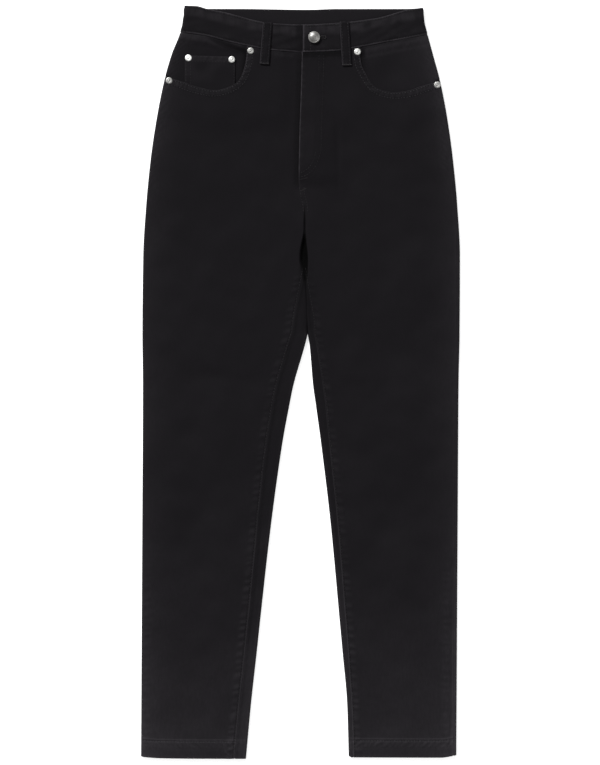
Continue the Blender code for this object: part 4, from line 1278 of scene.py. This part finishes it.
def coin_pocket_cloth():
    """The coin pocket: a hemmed top edge and turned sides, sewn on the right facing."""
    left, right, _, bottom = COIN_POCKET.values()
    u, v = np.meshgrid(np.linspace(0, 1, 60), np.linspace(0, 1, 70))
    x = left + EDGE_TURN + (right - left - 2 * EDGE_TURN) * u
    y = bottom + (coin_edge(x) - FOLD_TURN - bottom) * v
    from_top, from_left = coin_edge(x) - y, x - left
    points = np.stack([x, y, coin_top(x, y)], -1)
    in_hem = 1 - ease(from_top, 0.0088, 0.0102)
    wear_and_painted_light = (
        leg_wear_and_painted_light(x, y)
        + 0.010
        + bumps(from_top, (0.06, 0.0004, 0.0010), (-0.10, 0.0080, 0.0010))
        + bumps(from_left, (0.05, 0.0002, 0.0010))
        + bumps(right - x, (0.04, 0.0002, 0.0010))
        + in_hem * (0.035 + 0.050 * ease(from_top, 0.0045, 0.0065))
        - 0.010 * (1 - ease(from_left, 0.0075, 0.0100))
        + 0.045 * (roping(x, from_top, *COIN_ROPES, 101) - 0.1)
        + 0.030 * (roping(y, from_left, *COIN_ROPES, 103) - 0.1)
        + 0.020 * waves(x, y, 105, 0.025)
    )
    turn = 0.45 * POCKET_CLOTH
    up = np.zeros_like(points) + (0, 0, 1)
    return cloth_grid(points, up, wear_and_painted_light, first=turn, last=turn, high=turn, low=turn)


# ---------------------------------------------------------------- waistband and loops


BAND_CENTRE = float(centre_line(np.array(0.49)))  # the centre line's x halfway up the waistband


def band_round():
    """Columns round the waistband, from its right end on the front to its left end.

    Each has a nominal x, an angle (a right angle where level, less in a side fold), a face
    (1 front, -1 back) and a half of the body (-1 right, 1 left).
    """
    right, left = BAND_ENDS
    past_right, past_left = right + BAND_ROLL + 0.001, left - BAND_ROLL - 0.001
    level = np.pi / 2
    turn = np.radians(np.linspace(-78, 78, 15))
    to_back = np.where(turn <= 0, 1, -1)
    halves = np.repeat((-1, 1), 75)
    stretches = (
        # place, angle, face, half
        (np.linspace(BAND_CENTRE + BAND_UNDERLAP, past_right, 100), level, 1, -1),
        (right, np.abs(turn), to_back, -1),
        (np.linspace(past_right, past_left, len(halves)), level, -1, halves),
        (left, np.abs(turn), -to_back, 1),
        (np.linspace(past_left, BAND_CENTRE - PRESSED + EDGE_TURN, 84), level, 1, 1),
    )
    columns = np.concatenate([np.stack(np.broadcast_arrays(*row)) for row in stretches], axis=1)
    return SimpleNamespace(**dict(zip(("place", "angle", "face", "half"), columns)))


BAND = band_round()


def band_level(share):
    """Outside of the waistband and its outward direction. share goes from its seam to its top."""
    right, left = BAND_ENDS
    place, in_front = BAND.place, BAND.face > 0
    seam = np.where(in_front, band_seam(place), height_at(BAND_SEAM_BACK, place)) + BAND_GAP / 2
    top = np.where(in_front, height_at(BAND_TOP_FRONT, place), height_at(BAND_TOP_BACK, place))
    y = seam + (top - seam) * share
    right_fold, left_fold = side_fold("right", y), side_fold("left", y)
    scaled = right_fold + (place - right) / (left - right) * (left_fold - right_fold)
    level_x = place + (scaled - place) * ease(np.abs(place), 0.105, 0.150)
    in_fold = BAND_ROLL * (1 - np.cos(BAND.angle))
    fold_x = np.where(BAND.half < 0, right_fold + in_fold, left_fold - in_fold)
    turning = BAND.angle < np.pi / 2 - 0.01
    under = ease(place, BAND_CENTRE - 0.028, BAND_CENTRE - 0.003) * (BAND.half < 0) * in_front
    rise = np.sin(BAND.angle)
    over = BAND_TOP / 2 - (BAND_TOP - UNDERLAP_TOP) * under
    z = BAND_TOP / 2 + np.where(in_front, over, -BAND_TOP / 2) * rise
    across = BAND.half * np.cos(BAND.angle) * turning
    points = np.broadcast_arrays(np.where(turning, fold_x, level_x), y, z)
    outward = np.broadcast_arrays(across, 0 * y, BAND.face * rise)
    return np.stack(points, -1), np.stack(outward, -1)


BAND_RUN = run_along(band_level(np.full((1, 1), 0.5))[0][0])[None]


def band_point(share):
    """The finished waistband: its level outside with wrinkles, roping and stitch dips."""
    points, outward = band_level(share)
    from_seam, from_top = share * BAND_WIDTH, (1 - share) * BAND_WIDTH
    relief = (
        0.00026 * waves(BAND_RUN, from_seam, *BAND_WRINKLES)
        + 0.00030 * roping(BAND_RUN, from_top - 0.001, 0.0100, 0.0090, 0.5, 123)
        + 0.00045 * roping(BAND_RUN, from_seam - 0.001, *BAND_ROPES)
        - 0.00024 * (bump(from_top, BAND_ROW, 0.0008) + bump(from_seam, BAND_ROW, 0.0008))
    )
    relief = relief * (outward[..., 2] > -0.5)
    return points + outward * relief[..., None], outward


def waistband_cloth():
    """A closed loop round the strip's edges at each column: outside, top edge, inside, seam edge."""
    shares = np.linspace(0.034, 0.966, 34)[:, None]
    level, outward = band_level(shares)
    rise = np.gradient(level, axis=0)
    rise[..., 2] = 0
    rise /= np.linalg.norm(rise, axis=-1, keepdims=True)
    edge = 0.5 * BAND_CLOTH
    turn = np.radians((30, 60, 90, 120, 150))[:, None, None]
    out, under = edge * np.sin(turn), edge * (1 - np.cos(turn))
    high = level[-1] + rise[-1] * out - outward[-1] * under
    low = level[0] - rise[0] * out - outward[0] * under
    inside = (level - outward * BAND_CLOTH)[::-3]
    from_seam, from_top = shares * BAND_WIDTH, (1 - shares) * BAND_WIDTH
    run = run_along(level[0])[None]
    past_end = BAND.place - BAND_CENTRE
    # the left end's fold at the fly paler, partly wear and partly painted highlight; the right end beside
    # and under it darker, painted shade
    at_left_end = bump(past_end, 0.0, 0.0016) * (BAND.face > 0) * (BAND.half > 0)
    shade_at_right_end = (1 - ease(-past_end, 0.0040, 0.0110)) * (BAND.face > 0) * (BAND.half < 0)
    # paler edges, partly wear and partly painted highlight, and a paler upper band
    patchy = (
        bumps(from_top, (0.15, 0.0006, 0.0012))
        + bumps(from_seam, (0.34, 0.0008, 0.0014))
        + 0.115 * (1 - ease(from_top, 0.0095, 0.0190))
    )
    # the outside's wear and painted light
    worn = (
        patchy * (1 + 0.30 * uneven(run, 41, 0.022))
        - 0.020
        + 0.032 * waves(run, from_seam, *BAND_WRINKLES)
        + 0.035 * roping(run, from_seam - 0.001, *BAND_ROPES)
        - bumps(from_top, (0.14, BAND_ROW + 0.0004, 0.0009))
        - bumps(from_seam, (0.14, BAND_ROW + 0.0009, 0.0010))
        + 0.40 * at_left_end
        - 0.18 * shade_at_right_end
    )
    # the rolled top and seam edges paler, partly wear and partly painted highlight
    past_top, past_seam = (0.26, 0.26, 0.18, 0.06, 0.03), (0.0, 0.04, 0.14, 0.28, 0.34)
    rest = np.r_[past_top, np.full(len(inside), 0.035), past_seam]
    wear_and_painted_light = np.concatenate([worn, np.repeat(rest[:, None], worn.shape[1], axis=1)])
    loops = np.concatenate([band_point(shares)[0], high, inside, low[::-1]]).swapaxes(0, 1)
    facing = np.concatenate([outward, [rise[-1]] * 5, -outward[::-3], [-rise[0]] * 5])
    body = grid_part(loops, facing.swapaxes(0, 1), wear_and_painted_light.T, wrap=True)
    caps = [band_cap(loops[0], loops[1], 0.1), band_cap(loops[-1], loops[-2], 0.30)]
    return [body, *caps]


def end_cap(loop, to_middle, along, steps, wear_and_painted_light):
    """Closes the open end of a flat tube: its loop moves out and sinks to its own middle height.

    Each step is how far it has sunk, from 0 to 1, and how far it has moved out.
    """
    along = along / np.linalg.norm(along)
    rings = np.stack([loop + to_middle * sunk + along * out for sunk, out in steps])
    return grid_part(rings, np.zeros_like(rings) + along, wear_and_painted_light, wrap=True)


def band_cap(loop, inner, wear_and_painted_light):
    """Closes an end of the waistband."""
    to_middle = np.zeros_like(loop)
    to_middle[:, 2] = 0.5 * (loop[:, 2].max() + loop[:, 2].min()) - loop[:, 2]
    steps = ((0.0, 0.0), (0.14, 0.0004), (0.5, 0.0007), (1.0, 0.0008))
    return end_cap(loop, to_middle, (loop - inner).mean(axis=0), steps, wear_and_painted_light)


def strap(path, normal, width, thick, edge_wear_and_highlight, relief=None):
    """A flat strap along a path: a rounded flat section carried along it, closed at both ends."""
    across = np.cross(heading(path), normal)
    across /= np.linalg.norm(across, axis=1)[:, None]
    half, edge = width / 2, thick / 2
    flat = np.linspace(-1, 1, 21) * (half - edge)
    turn = np.radians((60, 30, 0, -30, -60))
    round_side, round_lift = half - edge + edge * np.cos(turn), edge * np.sin(turn)
    side = np.r_[flat, round_side, flat[::-2], -round_side[::-1]]
    lift = np.r_[np.full(21, edge), round_lift, np.full(11, -edge), round_lift[::-1]]
    lift = lift + np.zeros((len(path), 1))
    if relief is not None:
        lift = lift + relief(run_along(path)[:, None], side[None]) * (lift > 0)
    points = path[:, None] + across[:, None] * side[:, None] + normal[:, None] * lift[..., None]
    # painted highlight down the strap's left edge, the rest a little darker, and paler stitch rows with
    # darker lines beside them
    lit_left_edge = bump(side * across[-1, 0], -half, 0.0014)
    rows = bumps(np.abs(side), (1.0, LOOP_ROW, 0.0006), (-1.4, LOOP_ROW - 0.0012, 0.0006))
    wear_and_painted_light = edge_wear_and_highlight * (1.8 * lit_left_edge + 0.45 * rows) - 0.12 * (1 - lit_left_edge)
    parts = [grid_part(points, points - path[:, None], wear_and_painted_light, wrap=True)]
    for end, inner in ((0, 1), (-1, -2)):
        to_middle = -normal[end] * lift[end][:, None]
        steps = ((0.0, 0.0), (0.2, 0.6 * edge), (0.6, 0.9 * edge), (1.0, edge))
        parts.append(end_cap(points[end], to_middle, path[end] - path[inner], steps, edge_wear_and_highlight))
    return parts


def loop_path(top, foot):
    """The middle line of a front belt loop: over the waistband's top edge and down to its foot."""
    t = np.linspace(0, 1, 60)
    x = top[0] + (foot[0] - top[0]) * t
    y = top[1] - 0.0012 + (foot[1] - top[1] + 0.0012) * t
    step = ease(band_seam(x) - y, -0.0015, 0.0050)
    under = BAND_TOP + (FRONT_LIFTED + 0.0004 - BAND_TOP) * step + 0.0002
    arch = 0.0001 * ease(t, 0.0, 0.3) * (1 - ease(t, 0.75, 0.93))
    front = np.stack([x, y, under + 0.5 * LOOP_CLOTH + arch], -1)
    radius = 0.5 * (BAND_CLOTH + LOOP_CLOTH) + 0.0002
    turn = np.radians(np.linspace(180, 0, 12))[:-1]
    rise = BAND_TOP - 0.5 * BAND_CLOTH + radius * np.cos(turn)
    over = np.stack([np.full(11, top[0]), y[0] + radius * np.sin(turn), rise], -1)
    behind = over[:1] + np.array(((0, -0.006, 0), (0, -0.004, 0), (0, -0.002, 0)))
    turns = np.r_[np.full(3, np.pi), turn, np.zeros(60)]
    return np.vstack([behind, over, front]), np.stack([0 * turns, np.sin(turns), np.cos(turns)], -1)


def loop_relief(run, side):
    """Two stitch dips along a loop, the ridge between them and a fine cockle."""
    dips = 0.00020 * bump(np.abs(side), LOOP_ROW, 0.0007)
    return 0.00014 * waves(run, side, 131, 0.010) + 0.00010 * bump(side, 0.0, 0.002) - dips


def front_loop_cloth(top, foot):
    """A belt loop: folded over the waistband's edge, and tacked down onto the front."""
    return strap(*loop_path(top, foot), BELT_LOOP_WIDTH, LOOP_CLOTH, 0.16, loop_relief)


def back_loop_cloth(middle):
    """A back belt loop: a plain strap on the back of the waistband and the yokes."""
    y = np.linspace(*BACK_LOOP_ENDS, 24)
    path = np.stack([np.full_like(y, middle), y, np.full_like(y, 0.5 * PATCH)], -1)
    return strap(path, np.zeros_like(path) - (0, 0, 1), BELT_LOOP_WIDTH, PATCH, 0.10)


def back_pocket_outline(side, inset=0.0):
    """A back pocket's five corners, moved in by inset."""
    size = SimpleNamespace(**BACK_POCKET)
    corners = np.array(
        (
            (size.inner + inset, size.top_inner - inset),
            (size.outer - inset, size.top_outer - inset),
            (size.outer_foot - inset, size.foot + 0.4 * inset),
            ((size.inner_foot + size.outer_foot) / 2, size.point + inset),
            (size.inner_foot + inset, size.foot + 0.4 * inset),
        )
    )
    corners[:, 0] = BACK_CENTRE + OUTWARD[side] * corners[:, 0]
    return corners


def back_pocket_cloth(side):
    """A five-sided patch pressed flat: its outline shrunk in rings on both faces."""
    corners = back_pocket_outline(side)
    outline = even_path(np.vstack([corners, corners[:1]]), 0.0025)[:-1]
    middle = corners.mean(axis=0)
    shrink = np.array((0, 0.2, 0.4, 0.6, 0.8, 0.9, 0.96, 0.985, 0.994, 1, 0.994, 0.98, 0.5, 0))
    height = np.r_[np.zeros(8), 0.0001, 0.0005, 0.0009, np.full(3, PATCH)]
    rings = middle + (outline - middle) * shrink[:, None, None]
    layers = np.broadcast_to(height[:, None, None], (*rings.shape[:2], 1))
    points = np.concatenate([rings, layers], -1)
    return grid_part(points, points - (*middle, 0.5 * PATCH), 0.04, wrap=True)


# ---------------------------------------------------------------- metal


def metal_piece(name, node, profile, place, sides, look):
    """A profile of (radius, height) points turned about Z and set on the cloth."""
    radius, height = np.array(profile, float).T[..., None]
    turn = np.linspace(0, 2 * np.pi, sides, endpoint=False)
    radius = np.maximum(radius, 1e-6)
    points = np.stack([radius * np.cos(turn), radius * np.sin(turn), height + 0 * turn], -1)
    outward = points - (0, 0, 0.5 * profile[-1][1])
    part = grid_part(points + place, outward, 0.0, wrap=True)
    return piece_of(name, [part], [node], look)


# ---------------------------------------------------------------- sewing


def stitches(points, normals, length=0.0029, gap=0.0009, thread=0.00026, sink=0.00010):
    """Short threads end to end along a path: four diamond rings each, thickest in the middle."""
    points = np.asarray(points, float)
    run = run_along(points)
    count = max(1, int(run[-1] // (length + gap)))
    starts = (np.arange(count) + 0.12) * (run[-1] / count)
    at = starts[:, None] + length * np.array((0.0, 0.22, 0.78, 1.0))
    place, up = read_at(at, run, points), read_at(at, run, normals)
    along = place[:, -1:] - place[:, :1]
    along = along / (np.linalg.norm(along, axis=-1, keepdims=True) + 1e-12)
    across = np.cross(np.broadcast_to(along, up.shape), up)
    size = thread * np.array((0.35, 1.0, 1.0, 0.35))[:, None]
    drop = thread * np.array((-0.9, 0.45, 0.45, -0.9))[:, None] - sink
    centre = place + up * drop
    corners = [centre + up * size, centre + across * size, centre - up * size, centre - across * size]
    flat = np.stack(corners, 2).reshape(-1, 3)
    one = np.concatenate([quads_of(4, 4, wrap=True), [[0, 3, 2, 1]], [[12, 13, 14, 15]]])
    one = facing_out(flat[:16], one, flat[:16] - flat[:16].mean(axis=0))
    faces = (one + (np.arange(count) * 16)[:, None, None]).reshape(-1, 4)
    return flat, faces, 0.0


def thread_ends(x, y, length, width, turn, rows):
    """Both ends, in plan, of threads laid side by side across a line at this turn."""
    way = np.array((np.cos(turn), np.sin(turn)))
    half = 0.5 * width * np.array((-way[1], way[0]))
    middles = [np.array((x, y)) + way * length * t for t in np.linspace(-0.5, 0.5, rows)]
    return [np.stack([middle - half, middle + half]) for middle in middles]


def tack(x, y, length, turn, z, rows):
    """A bar tack at one height."""
    paths = [level_path(ends, z) for ends in thread_ends(x, y, length, TACK_WIDTH, turn, rows)]
    return [stitches(*path, TACK_WIDTH * 0.9, 0.0, 0.00030, -0.0001) for path in paths]


def sewn_on_front(side, arc, y, **settings):
    """A row of stitches set on a front."""
    return stitches(*front_point(side, y, arc), **settings)


def hem_sewing(side):
    """The worn row round a hem's front half."""
    row = np.array(HEM_LEVEL + HEM_ROW)
    x = np.linspace(side_fold(side, row), smooth(INNER_FOLDS, side, row), 160)[4:]
    y = hem_edge(x) + HEM_ROW
    arc = arc_over(side, x, y)
    seam_arc = arc_length(side, y) - smooth(INSEAM, side, y)
    keep = (arc > outseam_at(side, y) + 0.001) & (arc < seam_arc - 0.0005)
    return [sewn_on_front(side, arc[keep], y[keep], thread=WORN_THREAD)]


def front_sewing(side):
    """Rows of stitches on a front: inseam, and on the left the crotch seam and the fly's J."""
    y = np.arange(hem_edge(np.array(0.0)) + 0.003, CROTCH - 0.004, 0.003)
    inseam = arc_length(side, y, underlap(side, y)) - smooth(INSEAM, side, y)
    parts = [sewn_on_front(side, inseam - INSEAM_ROW, y)]
    if side == "right":
        return parts
    y = np.arange(VALLEY_TOP + 0.004, FLY_END + 0.004, 0.002)
    parts += [sewn_on_front(side, arc_length(side, y) - row, y) for row in CROTCH_ROWS]
    curve = (FLY_CURVE_TOP - FLY_CURVE_FOOT) * np.sin(np.linspace(0, np.pi / 2, 24))
    straight = np.arange(0.4450, FLY_CURVE_TOP, -0.003)
    for shift in (0.0, DOUBLE_ROW):
        y = np.r_[straight, FLY_CURVE_TOP - curve]
        x = centre_line(y) + np.maximum(fly_stitch_offset(y) - shift, 0.002)
        y = y + shift * (1 - fly_stitch_offset(y) / FLY_WIDTH) * 0.9
        parts.append(sewn_on_front(side, arc_over(side, x, y), y))
    return parts


def mouth_sewing(side):
    """Two worn rows along a pocket mouth."""
    path = even_path(MOUTHS[side], 0.0015)
    parts = []
    for row in MOUTH_ROWS:
        arc, y = (path + to_left(heading(path)) * row).T
        x = ring(side, y, arc, LEG_TOP)[0][:, 0]
        keep = (y < band_seam(x) - 0.001) & (arc > -0.0004)
        parts.append(sewn_on_front(side, arc[keep], y[keep], thread=WORN_THREAD))
    return parts


def level_path(points, z, up=1.0):
    """A stitch path in plan at a height, facing up, or down when up is -1."""
    points = np.asarray(points, float)
    return np.c_[points, np.full(len(points), z)], np.zeros((len(points), 3)) + (0, 0, up)


def facing_sewing():
    """Double rows along the coin pocket's top hem and its sides."""
    left, right, top, bottom = COIN_POCKET.values()
    x = np.linspace(left + 0.001, right - 0.001, 60)
    y = np.linspace(top - 0.002, bottom + 0.006, 60)
    rows = [(x, coin_edge(x) - row) for row in COIN_ROWS]
    sides = (*(left + row for row in COIN_SIDE_ROWS), right - COIN_SIDE_ROWS[0])
    rows += [(np.full(60, side), y) for side in sides]
    paths = [np.stack([x, y, coin_top(x, y)], -1) for x, y in rows]
    return [stitches(path, np.zeros_like(path) + (0, 0, 1)) for path in paths]


def band_sewing():
    """Rows along both edges of the waistband, and up its left end at the fly."""
    parts = []
    ends = (BAND_ROW / BAND_WIDTH, 1 - BAND_ROW / BAND_WIDTH)
    for share in ends:
        (points,), (outward,) = band_point(np.full((1, 1), share))
        points = points - 0.00023 * (outward[:, 2:] < -0.5) * outward  # pressed in underneath
        parts.append(stitches(points[40:], outward[40:]))
    points, outward = band_point(np.linspace(*ends, 30)[:, None])
    return [*parts, stitches(points[:, -6], outward[:, -6])]


def loop_sewing(top, foot):
    """Two rows down a belt loop."""
    path, normal = (values[12:] for values in loop_path(top, foot))
    across = np.cross(heading(path), normal)
    lift = 0.5 * LOOP_CLOTH - 0.00012
    return [stitches(path + across * row + normal * lift, normal) for row in (-LOOP_ROW, LOOP_ROW)]


def tacks():
    """Bar tacks across the feet of the belt loops."""
    top = FRONT_LIFTED + LOOP_CLOTH + 0.0007
    feet = [foot for _, foot in FRONT_LOOPS.values()]
    return [part for x, y in feet for part in tack(x, y + 0.0006, BELT_LOOP_WIDTH * 0.9, -0.04, top, 20)]


def buttonhole():
    """Close stitches round the buttonhole's slot, which shows beside the button."""
    y = BUTTON_AT[1]
    turns = np.linspace(-0.5, 0.5, 22) * np.pi * 1.15
    threads = [(0.0330 + 0.0018 * np.cos(a), y + 0.0018 * np.sin(a), a + np.pi / 2) for a in turns]
    for x in np.linspace(0.0215, 0.0322, 24):
        threads += [(x, y - 0.0014, 0.0), (x, y + 0.0014, 0.0)]
    return [part for x, y, turn in threads for part in tack(x, y, 0.0001, turn, BAND_TOP + 0.0003, 1)]


def fly_tacks():
    """Two small bar tacks at the foot of the fly, each thread set on the cloth under it."""
    parts = []
    for x, y, length, width, turn in zip(*FLY_TACKS.values()):
        settings = {"length": width * 0.9, "gap": 0.0, "thread": 0.00026, "sink": 0.00012}
        for ends in thread_ends(x, y, length, width, turn, 16):
            arc = arc_over("left", *ends.T)
            parts.append(sewn_on_front("left", arc, ends[:, 1], **settings))
    return parts


def back_sewing(side):
    """Plain double rows where they aren't seen: back pocket, yoke seam and centre back seam."""
    parts = []
    for inset in BACK_ROWS:
        corners = np.roll(back_pocket_outline(side, inset), -1, axis=0)
        parts.append(stitches(*level_path(corners, 0.0, -1.0), sink=0.00033))
    x = BACK_CENTRE + OUTWARD[side] * np.linspace(0.004, 0.165, 80)
    for drop in BACK_ROWS:
        line = np.stack([x, height_at(YOKE_SEAM, x) - drop], -1)
        parts.append(stitches(*level_path(line, SEAT_RISE, -1.0)))
    return parts


# ---------------------------------------------------------------- putting it together


def sheet_of(cut, name, cloth, node, *sewing):
    """Makes a laid sheet of cloth and its rows of sewing. The cut is not used.

    Each row is the name, the parts and the look of its piece.
    """
    piece = piece_of(name, cloth, [node], DENIM_LOOK)
    rows = [piece_of(row_name, parts, [], look) for row_name, parts, look in sewing]


def build_garment():
    """Every cut and its sewing."""
    for side in ("right", "left"):
        worn = mouth_sewing(side) + hem_sewing(side)
        front_rows = (
            ("front_stitches_" + side, front_sewing(side), THREAD_LOOK),
            ("worn_stitches_" + side, worn, WORN_THREAD_LOOK),
        )
        back_rows = (("back_stitches_" + side, back_sewing(side), THREAD_LOOK),)
        for cut, cloth, rows in (
            ("front", [front_cloth(side), mouth_strip(side)], front_rows),
            ("back", [back_cloth(side)], back_rows),
            ("yoke", [yoke_cloth(side)], ()),
            ("pocket_facing", [facing_cloth(side)], ()),
            ("back_pocket", [back_pocket_cloth(side)], ()),
        ):
            sheet_of(cut, f"{cut}_cloth_{side}", cloth, f"{cut}_{side}", *rows)
    rows = ("coin_pocket_stitches", facing_sewing(), THREAD_LOOK)
    sheet_of("coin_pocket", "coin_pocket_cloth", [coin_pocket_cloth()], "coin_pocket", rows)
    rows = (
        ("waistband_stitches", band_sewing(), THREAD_LOOK),
        ("buttonhole_stitches", buttonhole(), FLY_TACK_LOOK),
        ("bar_tacks", tacks(), TACK_LOOK),
    )
    sheet_of("waistband", "waistband_cloth", waistband_cloth(), "waistband", *rows)
    for name, ends in FRONT_LOOPS.items():
        rows = (name + "_stitches", loop_sewing(*ends), THREAD_LOOK)
        sheet_of("belt_loop_front", name + "_cloth", front_loop_cloth(*ends), name, rows)
    for name, middle in BACK_LOOPS.items():
        sheet_of("belt_loop_back", name + "_cloth", back_loop_cloth(middle), name)
    piece_of("fly_tacks", fly_tacks(), [], FLY_TACK_LOOK)


def fit_metal():
    """The waist button and six rivets, each turned from its own profile."""
    cap, size = BUTTON_RADIUS, RIVET_RADIUS
    button = (
        (0, 0), (0.0036, 0), (0.0038, 0.0012), (0.80 * cap, 0.0012), (0.93 * cap, 0.0014),
        (0.99 * cap, 0.0018), (cap, 0.0023), (0.97 * cap, 0.0029), (0.90 * cap, 0.0032),
        (0.84 * cap, 0.0031), (0.80 * cap, 0.0030), (0.72 * cap, 0.0034), (0.55 * cap, 0.0041),
        (0.35 * cap, 0.0046), (0.15 * cap, 0.0048), (0, 0.0048),
    )
    rivet = (
        (0, 0), (size * 0.9, 0), (size, 0.0003), (size * 0.98, 0.0007), (0.86 * size, 0.0012),
        (0.62 * size, 0.0015), (0.46 * size, 0.0014), (0.38 * size, 0.0012), (0.30 * size, 0.0015),
        (0.24 * size, 0.0020), (0.12 * size, 0.0022), (0, 0.0022),
    )
    metal_piece("button_cap", "button", button, (*BUTTON_AT, BAND_TOP + SEAM_GAP), 64, BUTTON_LOOK)
    for name, (x, y, z) in RIVETS.items():
        look = RIVET_LIT_COPIES.get(name, RIVET_SHADED_LOOK)
        metal_piece(name + "_cap", name, rivet, (x, y, z + SEAM_GAP), 36, look)


def camera_over(height):
    """Straight above the middle of the picture, with the picture's own field of view."""
    camera = placed("camera", bpy.data.cameras.new("camera"))
    camera.data.sensor_width = 36.0
    camera.data.lens = 36.0 * height / PICTURE_LENGTH
    camera.data.clip_end = 20.0
    camera.location = (*PICTURE_MIDDLE, height)
    bpy.context.scene.camera = camera


def white_surface():
    """A white card under the garment, lit so that it shows as plain white."""
    mesh = bpy.data.meshes.new("white_surface")
    size, low = 6.0, -0.0005
    corners = [(-size, -size, low), (size, -size, low), (size, size, low), (-size, size, low)]
    mesh.from_pydata(corners, [], [(0, 1, 2, 3)])
    nodes = Nodes("white_card")
    nodes.set(
        Base_Color=(0.9, 0.9, 0.9, 1),
        Roughness=0.9,
        Specular_IOR_Level=0.1,
        Emission_Color=(1, 1, 1, 1),
        Emission_Strength=0.62,
    )
    mesh.materials.append(nodes.material)
    placed("white_surface", mesh)


def sun(name, towards, strength, softness):
    """A soft distant light; towards points from the garment to the light."""
    lamp = placed(name, bpy.data.lights.new(name, "SUN"))
    lamp.data.energy = strength
    lamp.data.angle = np.radians(softness)
    lamp.rotation_euler = Vector(towards).to_track_quat("Z", "Y").to_euler()


def studio():
    """Soft light all round, a key light from the upper left and a weak one to fill."""
    scene = bpy.context.scene
    scene.view_settings.view_transform = "Standard"
    scene.view_settings.look = "None"
    scene.world = bpy.data.worlds.new("soft_white")
    scene.world.use_nodes = True
    background = scene.world.node_tree.nodes["Background"].inputs
    background["Color"].default_value = (1, 1, 1, 1)
    background["Strength"].default_value = 0.30
    sun("key", (-0.60, 0.80, 0.75), 4.2, 18)
    sun("fill", (0.8, -0.3, 0.9), 0.7, 40)


camera_over(6.0)
white_surface()
studio()
build_garment()
fit_metal()
